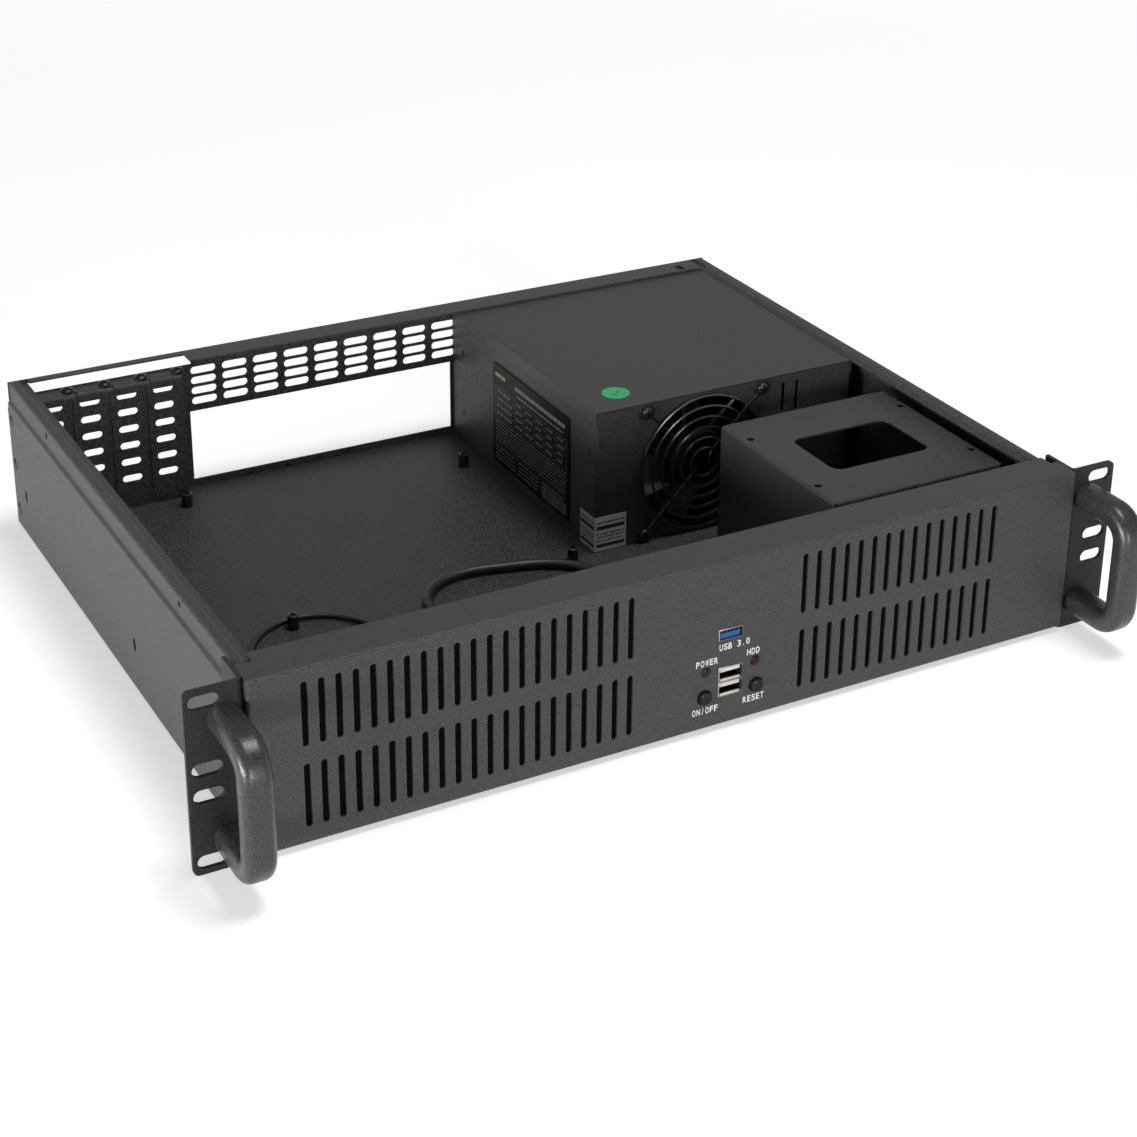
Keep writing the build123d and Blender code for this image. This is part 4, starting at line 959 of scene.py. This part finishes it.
@dataclass
class RackEars:
    """Rack ears and their bow handles."""

    offset: float = 224.5
    reach: float = 40.0
    legs: Pair = (15.0, 73.0)
    wide: float = 14.0
    thick: float = 12.0
    round: float = 4.5
    bend: float = 12.0
    back: float = 2.0
    screw_y: float = 17.0
    screw_heights: tuple[float, ...] = (16.0, 38.0, 60.0)

    def build(self) -> None:
        """Dresses the ears in a darker copy of the coat as painted shade, and makes handles and screws."""
        dress(SHADED_EAR_COAT, "left_ear", "right_ear")
        for side, name in ((-1, "left_handle"), (1, "right_handle")):
            self.bow(side).finish(f"{name}_bow", HANDLE_COAT, Slot.HANDLE, nodes=(name,))
        seats = [((side * self.offset, self.back, z), Axis.BACK) for side in (-1, 1) for z in self.legs]
        PanScrew(radius=3.6, height=2.4, shank=1.9).row("handle_back_screws", "handle_screws", seats, ZINC, Slot.STEEL)
        self.side_screws()

    def side_screws(self) -> None:
        """Screws that hold the ears to the side walls."""
        screw = PanScrew(radius=3.0, height=1.8)
        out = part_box("ear_screws")[1][0] / MM - screw.height
        seats = [((side * out, self.screw_y, z), way) for side, way in SIDES for z in self.screw_heights]
        screw.row("ear_side_screws", "ear_screws", seats)

    def bow(self, side: int) -> Workpiece:
        """One handle: a rounded bar spun and extruded along its bow.

        Args:
            side: -1 for the left ear, 1 for the right one.

        Returns:
            The handle as a workpiece.
        """
        part = bmesh.new()
        bmesh.ops.create_grid(part, x_segments=1, y_segments=1, size=0.5)
        part.transform(Matrix.Rotation(math.radians(90), 4, "X") @ Matrix.Diagonal((self.wide, self.thick, 1.0, 1.0)))
        bmesh.ops.bevel(part, geom=part.verts[:], offset=self.round, segments=7, profile=0.5, affect="VERTICES",
                        material=-1)
        low, high = self.legs
        line = self.reach - self.thick / 2 - self.bend
        part.transform(Matrix.Translation((side * self.offset, 0.0, low)))
        front = part.edges[:]
        front = self.push(part, front, (0.0, -line, 0.0))
        front = self.swing(part, front, (0.0, -line, low + self.bend))
        front = self.push(part, front, (0.0, 0.0, high - low - 2 * self.bend))
        front = self.swing(part, front, (0.0, -line, high - self.bend))
        front = self.push(part, front, (0.0, line, 0.0))
        bmesh.ops.contextual_create(part, geom=front)
        bmesh.ops.remove_doubles(part, verts=part.verts[:], dist=WELD)
        bmesh.ops.recalc_face_normals(part, faces=part.faces[:])
        return Workpiece().add(part)

    @staticmethod
    def push(part: Mesh, edges: list, way: Point) -> list:
        """Extrudes a loop of edges straight on and returns the new loop."""
        made = bmesh.ops.extrude_edge_only(part, edges=edges)["geom"]
        bmesh.ops.translate(part, verts=[g for g in made if isinstance(g, bmesh.types.BMVert)], vec=way)
        return [g for g in made if isinstance(g, bmesh.types.BMEdge)]

    @staticmethod
    def swing(part: Mesh, edges: list, centre: Point) -> list:
        """Spins a loop of edges a quarter turn upwards and returns the new loop."""
        made = bmesh.ops.spin(part, geom=edges, cent=centre, axis=(1, 0, 0), angle=-math.pi / 2, steps=12)
        return [g for g in made["geom_last"] if isinstance(g, bmesh.types.BMEdge)]


@dataclass
class DriveCage:
    """Windowed drive cage on the floor."""

    left: float = 101.4
    wide: float = 103.6
    front: float = 40.0
    deep: float = 103.5
    foot: float = 12.0
    foot_shares: Pair = (0.15, 0.85)
    seat: float = 4.6

    def build(self) -> None:
        """Dresses the cage and makes the screws of its feet."""
        dress(COAT, "drive_cage")
        xs = (self.left + self.foot / 2, self.left + self.wide - self.foot / 2)
        ys = [self.front + self.deep * share for share in self.foot_shares]
        PanScrew().row("cage_foot_screws", "cage_screws", [((x, y, self.seat), Axis.UP) for x in xs for y in ys])


@dataclass
class PowerSupply:
    """Power supply with its label, sticker, seal, inlet, mains switch and screws."""

    left: float = 43.9
    right: float = 203.9
    front: float = 174.0
    floor: float = 3.6
    top: float = 84.7
    label: tuple[float, float, float, float] = (203.3, 294.0, 9.3, 69.7)
    label_columns: tuple[float, ...] = (3.0, 26.0, 38.0, 50.0, 62.0, 75.0, 88.0)
    label_cells: tuple[float, ...] = (28.0, 40.0, 52.0, 64.0, 77.0)
    label_row: float = 4.4
    label_rows: int = 4
    seal_side: float = 16.0
    seal_front: float = 19.0
    seal_top: float = 24.0
    seal_lines: tuple[Pair, ...] = ((20.6, 0.9), (17.6, 2.2), (14.0, 0.7), (12.2, 0.7), (10.0, 0.7), (7.2, 1.8))
    sticker: Pair = (66.0, 193.0)
    sticker_radius: float = 7.5
    tick: tuple[Pair, ...] = ((-3.2, 0.2), (-1.0, -2.2), (3.4, 2.6))
    film: float = 0.12
    glue: float = 0.05
    ink: Pair = (0.03, 0.02)
    sheet: float = 0.6
    seam_shadow: Pair = (75.4, 76.7)
    seam_shadow_end: float = 347.0
    inset: float = 5.0
    panel_back: float = 350.0
    rocker: Point = (169.9, 348.4, 25.6)
    rocker_tilt: float = math.radians(7.0)
    mark_reach: float = 4.6

    def build(self) -> None:
        """Makes and dresses every part of the supply."""
        dress(SUPPLY_COAT, "psu_case", "psu_cover")
        dress(PLASTIC, "psu_inlet", "psu_rocker_frame", "psu_rocker")
        seats = [((x, self.panel_back, z), Axis.BACK) for x in (self.left + self.inset, self.right - self.inset)
                 for z in (self.floor + self.inset, self.top - self.inset)]
        PanScrew().row("supply_back_screws", "psu_mount_screws", seats)
        # Painted shadow: a thin black strip under the cover's lip stands in for the shadow in the gap at its lower
        # edge.
        wall, (low, high) = self.left + self.sheet, self.seam_shadow
        seam_shadow = Workpiece().block((wall - 0.08, self.front + self.sheet, low), (wall + self.glue, self.seam_shadow_end, high))
        seam_shadow.finish("cover_seam_painted_shadow", SHADE_BLACK, Slot.COAT)
        self.side_label()
        self.round_sticker()
        self.corner_seal()
        self.rocker_marks()

    def bar(self, work: Workpiece, span: Pair, heights: Pair) -> None:
        """Prints a bar on the label, with its span counted from the label's rear edge."""
        face, rear, (out, sunk) = self.left - self.film, self.label[1], self.ink
        work.block((face - out, rear - span[1], heights[0]), (face + sunk, rear - span[0], heights[1]))

    def words(self, work: Workpiece, draw: random.Random, span: Pair, z: float, tall: float) -> None:
        """Prints a line of bars of differing length that reads as small print.

        Args:
            work: Workpiece that takes the bars.
            draw: Source of their lengths and gaps.
            span: Start and end of the line.
            z: Its middle height.
            tall: Height of its bars.
        """
        place, end = span
        while place < end - 1.2:
            long = min(draw.uniform(1.2, 4.6), end - place)
            self.bar(work, (place, place + long), (z - tall / 2, z + tall / 2))
            place += long + draw.uniform(0.5, 0.9)

    def side_label(self) -> None:
        """Black rating label with a table and lines of plain bars in place of words."""
        y0, y1, z0, z1 = self.label
        face, thin = self.left - self.film, 0.12
        plate = Workpiece().block((face, y0, z0), (self.left + self.glue, y1, z1), 0.03, 1)
        plate.finish("supply_label", LABEL_BLACK, Slot.COAT)
        draw, gold, print_ink, codes = random.Random(4), Workpiece(), Workpiece(), Workpiece()
        self.words(gold, draw, (3.0, 17.0), z1 - 6.0, 2.2)
        gold.finish("supply_label_mark", LABEL_GOLD, Slot.COAT)
        table, row, foot = z1 - 13.4, self.label_row, z0 + 12.5
        end = table - row * self.label_rows
        lines = [((27.0, 86.0), z1 - 6.4, 2.4), ((29.0, 84.0), z1 - 10.6, 1.2)]
        for z in (table - row * (i + 0.5) for i in range(self.label_rows)):
            lines += [((5.0, 23.0), z, 1.5), *(((cell, cell + 8.0), z, 1.4) for cell in self.label_cells)]
        lines += [((3.0, 88.0), end - 2.2 - i * 2.1, 0.8) for i in range(7)]
        lines += [(span, foot - 2.0 - i * 2.4, 0.8) for i in range(4) for span in ((3.0, 28.0), (32.0, 56.0))]
        for span, z, tall in (*lines, ((60.0, 87.0), foot - 2.0, 1.2)):
            self.words(print_ink, draw, span, z, tall)
        rules = [((3.0, 88.0), (z - thin, z + thin)) for z in (table - row * i for i in range(self.label_rows + 1))]
        rules += [((place - thin, place + thin), (end, table)) for place in self.label_columns]
        rules += [((2.5, 88.5), (foot - 0.1, foot + 0.1)), ((30.0, 30.3), (z0 + 2.0, foot)),
                  ((58.0, 58.3), (z0 + 2.0, foot)), ((60.0, 87.5), (z0 + 1.8, z0 + 8.8))]
        for span, heights in rules:
            self.bar(print_ink, span, heights)
        print_ink.finish("supply_label_print", LABEL_INK, Slot.COAT)
        place = 61.0
        while place < 86.5:
            wide = draw.choice((0.25, 0.4, 0.7))
            codes.block((face - 0.05, y1 - place - wide, z0 + 2.2), (face - 0.02, y1 - place, z0 + 8.4))
            place += wide + draw.choice((0.3, 0.5, 0.8))
        codes.finish("supply_label_strip", LABEL_BLACK, Slot.COAT)

    def round_sticker(self) -> None:
        """Green round sticker on the cover with a tick."""
        (x, y), r, f = self.sticker, self.sticker_radius, self.film
        disc = [(0.0, -self.glue), (r, -self.glue), (r, f - 0.03), (r - 0.1, f), (0.0, f)]
        Workpiece().turned(disc, (x, y, self.top), Axis.UP, 64).finish("round_sticker", STICKER_GREEN, Slot.COAT)
        path = [((x + a, y + b, self.top + f),) * 3 for a, b in self.tick]
        Workpiece().bent_wire(path, 0.2).finish("sticker_tick", SEAL_BLACK, Slot.COAT)

    def corner_seal(self) -> None:
        """Silver seal with dark lines, folded round the lower front corner."""
        f, x, y, low, (out, sunk) = self.film, self.left, self.front, self.floor + 0.4, self.ink
        seal = Workpiece()
        for corner in ((x + self.glue, y + self.seal_side), (x + self.seal_front, y + self.glue)):
            seal.block((x - f, y - f, low), (*corner, self.seal_top), 0.03, 1)
        seal.finish("corner_seal", SEAL_SILVER, Slot.COAT)
        marks, draw = Workpiece(), random.Random(9)
        for level, tall in self.seal_lines:
            low, high, place = level - tall / 2, level + tall / 2, 1.0
            while place < self.seal_front - 1.4:
                long = self.seal_front - 2.0 if tall > 1.5 else draw.uniform(1.0, 3.6)
                end, stop = (min(place + long, edge - 0.8) for edge in (self.seal_front, self.seal_side))
                marks.block((x + place, y - f - out, low), (x + end, y - f + sunk, high))
                if place < self.seal_side - 1.5:
                    marks.block((x - f - out, y + place, low), (x - f + sunk, y + stop, high))
                place = end + draw.uniform(0.4, 0.8)
        marks.finish("corner_seal_print", SEAL_BLACK, Slot.COAT)

    def rocker_marks(self) -> None:
        """Raised stroke and circle of the mains switch, on its tilted face."""
        out, y = self.mark_reach, self.mark_reach * math.tan(self.rocker_tilt) * 1.2
        marks = Workpiece().block((-out - 0.3, y - 0.4, -1.9), (0.3 - out, y + 0.06, 1.9), 0.05, 1)
        marks.ring((out, y - 0.02, 0.0), Axis.BACK, 1.5, 0.3, 28)
        tilt = Matrix.Translation(self.rocker) @ Matrix.Rotation(-self.rocker_tilt, 4, "Z")
        Workpiece().add(marks.mesh, tilt).finish("rocker_marks", WHITE_INK, Slot.PLASTIC, Body.MAINS)


@dataclass
class Fan:
    """Fan of the power supply with its bent wire guard."""

    x: float = 109.3
    z: float = 44.15
    face: float = 174.0
    wire: float = 0.8
    rings: tuple[float, ...] = (38.3, 32.3, 26.3, 20.3, 14.3, 8.3)
    holes: float = 71.5
    eye: float = 3.2
    loop: float = 9.4
    seat: float = 172.4
    hub_disc: Profile = ((0.0, -0.05), (12.6, -0.05), (12.6, 0.05), (12.4, 0.08), (0.0, 0.08))

    def build(self) -> None:
        """Dresses the fan and makes its guard and screws."""
        dress(FAN_PLASTIC, "fan_frame", "fan_rotor")
        self.guard()
        half = self.holes / 2
        seats = [((self.x + i * half, self.seat, self.z + k * half), Axis.FRONT) for i in (-1, 1) for k in (-1, 1)]
        PanScrew(washer=4.4).row("guard_screws", "fan_screws", seats)
        self.hub_label()

    def guard(self) -> None:
        """Rings welded on two wires that bend back beside the middle and end in eyes."""
        work = Workpiece()
        back, half = self.face - self.wire, self.holes / 2
        for radius in self.rings:
            work.ring((self.x, back - self.wire * 1.5, self.z), Axis.FRONT, radius, self.wire, 96)
        end, touch = half - self.eye * DIAGONAL, self.loop * DIAGONAL
        for side in (-1, 1):
            knots = []
            for out, bend, up in ((end, 0.0, 1), (touch, ROUND * touch, 1), (touch, ROUND * touch, -1), (end, 0.0, -1)):
                here = Vector((self.x + side * out, back, self.z + up * out))
                pull = up * Vector((side * bend, 0.0, up * bend))
                knots.append((here + pull, here, here - pull))
            work.bent_wire(knots, self.wire)
            for k in (-1, 1):
                work.ring((self.x + side * half, back, self.z + k * half), Axis.FRONT, self.eye, self.wire, 32)
        work.finish("wire_guard", GUARD_WIRE, Slot.SCREW, nodes=("fan_guard",))

    def hub_label(self) -> None:
        """Round dark label on the hub."""
        place = (self.x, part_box("fan_rotor")[0][1] / MM + EAR_PLANE, self.z)
        disc = Workpiece().turned(self.hub_disc, place, Axis.FRONT, 48)
        disc.finish("hub_label", LABEL_BLACK, Slot.PLASTIC, Body.ROTOR)


@dataclass
class Lead:
    """A lead that lies on the floor of the case, from its socket to its plug."""

    name: str
    radius: float
    length: float
    points: tuple[Point, ...]
    plug: Pair
    cord_node: str
    plug_node: str
    rib: float = 0.12

    def build(self) -> None:
        curve = bpy.data.curves.new(self.name, "CURVE")
        curve.dimensions = "3D"
        spline = curve.splines.new("NURBS")
        spline.points.add(len(self.points) - 1)
        for knot, place in zip(spline.points, self.points):
            knot.co = (*(TO_FRAME @ Vector(place)), 1.0)
        spline.order_u = 3
        spline.use_endpoint_u = True
        spline.resolution_u = 10
        curve.bevel_depth = self.radius * MM
        curve.bevel_resolution = 5
        curve.materials.append(CORD_SHEATH.material())
        cord = shown(self.name, curve)
        settle(cord, Body.CASE, (self.cord_node,))
        plug = self.housing()

    def housing(self) -> Item:
        """Plug housing with a latch and ribs, in line with the end of the lead."""
        (wide, long), tall, rib = self.plug, 2 * (self.radius + 0.3), self.rib
        end, before = Vector(self.points[-1]), Vector(self.points[-2])
        way = (end - before).normalized()
        across = Vector((way.y, -way.x, 0.0))
        turn = Matrix((across, way, across.cross(way))).transposed().to_4x4()
        part = Workpiece().block((-wide / 2, 0.0, -tall / 2), (wide / 2, long, tall / 2), 0.35)
        for y in (long * (0.25 + 0.2 * i) for i in range(3)):
            part.block((-wide / 2 - rib, y, -tall * 0.3), (wide / 2 + rib, y + long * 0.07, tall * 0.3), 0.05, 1)
        whole = Workpiece().add(part.mesh, Matrix.Translation(end) @ turn)
        return whole.finish(f"{self.name}_plug", PLASTIC, Slot.PLASTIC, nodes=(self.plug_node,))


BUNDLE = Lead(
    "panel_bundle", 2.6, 291.0,
    ((24.0, 22.8, 40.0), (24.0, 36.8, 40.0), (26.0, 52.8, 31.0), (29.4, 67.8, 17.0), (32.4, 86.8, 7.9),
     (34.0, 112.0, 6.5), (34.6, 136.0, 6.5), (30.0, 158.0, 6.5), (14.0, 171.5, 6.5), (-8.0, 177.5, 6.5),
     (-30.0, 182.0, 6.5), (-50.0, 176.0, 6.5), (-62.0, 158.5, 6.5), (-60.0, 138.0, 6.5), (-52.0, 120.0, 6.5)),
    (11.0, 15.0), "bundle_cord", "bundle_plug")
THIN_LEAD = Lead(
    "switch_lead", 1.5, 290.6,
    ((-1.0, 22.8, 44.0), (-1.0, 33.8, 44.0), (-5.0, 46.8, 35.0), (-14.0, 58.8, 20.0), (-30.0, 70.8, 8.0),
     (-50.0, 84.0, 5.4), (-70.0, 104.0, 5.4), (-84.0, 130.0, 5.4), (-93.0, 156.0, 5.4), (-107.0, 173.4, 5.4),
     (-126.0, 179.4, 5.4), (-143.0, 173.4, 5.4), (-155.0, 160.0, 5.4), (-161.0, 144.0, 5.4), (-163.0, 127.0, 5.4)),
    (6.0, 14.0), "lead_cord", "lead_plug")


@dataclass
class Softbox:
    """A soft lamp that faces the case, with its place, width and height in metres."""

    name: str
    place: Point
    size: Pair
    power: float
    aim: Point = (0.0, 0.0, 0.04)

    def build(self) -> None:
        """Makes the lamp."""
        data = bpy.data.lights.new(self.name, "AREA")
        data.shape, data.energy = "RECTANGLE", self.power
        data.size, data.size_y = self.size
        lamp = shown(self.name, data)
        lamp.location = self.place
        lamp.rotation_euler = (Vector(self.aim) - Vector(self.place)).to_track_quat("-Z", "Y").to_euler()


@dataclass
class Studio:
    """Pale floor, soft lamps, white surroundings and the photograph's camera."""

    focal_px: float = 2303.93
    eye: Point = (-486.3, -778.7, 567.9)
    yaw: float = 0.5189
    pitch: float = 0.4102
    roll: float = 0.0185
    centre_px: Pair = (620.0, 398.0)
    sensor: float = 36.0
    floor_size: float = 12.0
    floor_colour: float = 0.86
    floor_glow: float = 0.48
    white_beyond: float = 1.6
    world_fall: tuple[Pair, ...] = ((0.0, 1.0), (0.12, 1.0), (0.5, 0.25))
    world_light: float = 0.4
    softboxes: tuple[Softbox, ...] = (Softbox("left_softbox", (-2.6, -0.7, 0.2), (1.6, 0.34), 76.0),
                                      Softbox("front_softbox", (-0.2, -2.8, 0.5), (0.9, 0.9), 26.0),
                                      Softbox("top_softbox", (0.5, -0.3, 2.5), (0.9, 0.9), 32.0))

    def build(self) -> None:
        """Makes the studio."""
        self.camera()
        self.floor()
        self.world()
        for lamp in self.softboxes:
            lamp.build()
        bpy.context.scene.view_settings.view_transform = "Standard"

    def camera(self) -> None:
        """Camera at the photograph's place and angle."""
        sy, cy, sp, cp = math.sin(self.yaw), math.cos(self.yaw), math.sin(self.pitch), math.cos(self.pitch)
        ahead = Vector((sy * cp, cy * cp, -sp))
        right = Vector((cy, -sy, 0.0))
        up = right.cross(ahead)
        sr, cr = math.sin(self.roll), math.cos(self.roll)
        turn = Matrix((cr * right + sr * up, cr * up - sr * right, -ahead)).transposed().to_4x4()
        data = bpy.data.cameras.new("photo_camera")
        data.sensor_width = self.sensor
        data.lens = self.focal_px * self.sensor / PHOTO_SIZE
        data.shift_x = (PHOTO_SIZE / 2 - self.centre_px[0]) / PHOTO_SIZE
        data.shift_y = (self.centre_px[1] - PHOTO_SIZE / 2) / PHOTO_SIZE
        eye = shown("photo_camera", data)
        eye.matrix_world = Matrix.Translation(TO_FRAME @ Vector(self.eye)) @ turn
        bpy.context.scene.camera = eye

    @staticmethod
    def rays(graph: Graph, *kinds: str) -> Signal:
        """One for rays of these kinds, else nought."""
        total, *others = (graph.signal("LightPath", output=f"Is {kind} Ray") for kind in kinds)
        for other in others:
            total = total + other
        return total

    def floor(self) -> None:
        """Plain pale floor that keeps a soft shadow, and shows white far from the case."""
        part = bmesh.new()
        bmesh.ops.create_grid(part, x_segments=8, y_segments=8, size=self.floor_size / 2)
        data = stored(part, "studio_floor")
        graph = Graph(bpy.data.materials.new("studio_floor"))
        paint = graph.signal("BsdfDiffuse", {"Color": (*(self.floor_colour,) * 3, 1.0)})
        bright = graph.signal("AddShader", {0: paint, 1: graph.glow(self.floor_glow)})
        seen = self.rays(graph, "Camera", "Glossy", "Transmission") > 0.5
        reach = graph.signal("VectorMath", {0: graph.place()}, 1, operation="LENGTH")
        far = graph.ramp(reach * (1 / self.white_beyond), (0.4, 0.0), (1.0, 1.0))
        whole = graph.blend(seen * far, graph.blend(seen, paint, bright), graph.glow(1.0))
        data.materials.append(graph.close(whole))
        shown("studio_floor", data)

    def world(self) -> None:
        """White surroundings for the camera, with light that falls off towards the zenith."""
        world = bpy.data.worlds.new("studio_world")
        bpy.context.scene.world = world
        graph = Graph(world)
        camera, mirrored = self.rays(graph, "Camera"), self.rays(graph, "Glossy", "Transmission")
        height = graph.signal("SeparateXYZ", {0: graph.signal("TexCoord", output="Generated")}, 2)
        fall = graph.ramp(height, *self.world_fall)
        lit = fall * (mirrored * (1 - self.world_light) + self.world_light)
        back = graph.signal("Background", {"Color": WHITE, "Strength": camera + (1.0 - camera) * lit})
        graph.close(back, "OutputWorld")


def main() -> None:
    """Builds the studio and every part of the case in order."""
    logging.basicConfig(level=logging.INFO, format="%(message)s")
    for part in (Studio(), BUNDLE, THIN_LEAD, BodyShell(), FrontPanel(), RackEars(), DriveCage(), PowerSupply(),
                 Fan()):
        part.build()
        LOG.info("built %s", type(part).__name__)


if __name__ == "__main__":
    main()
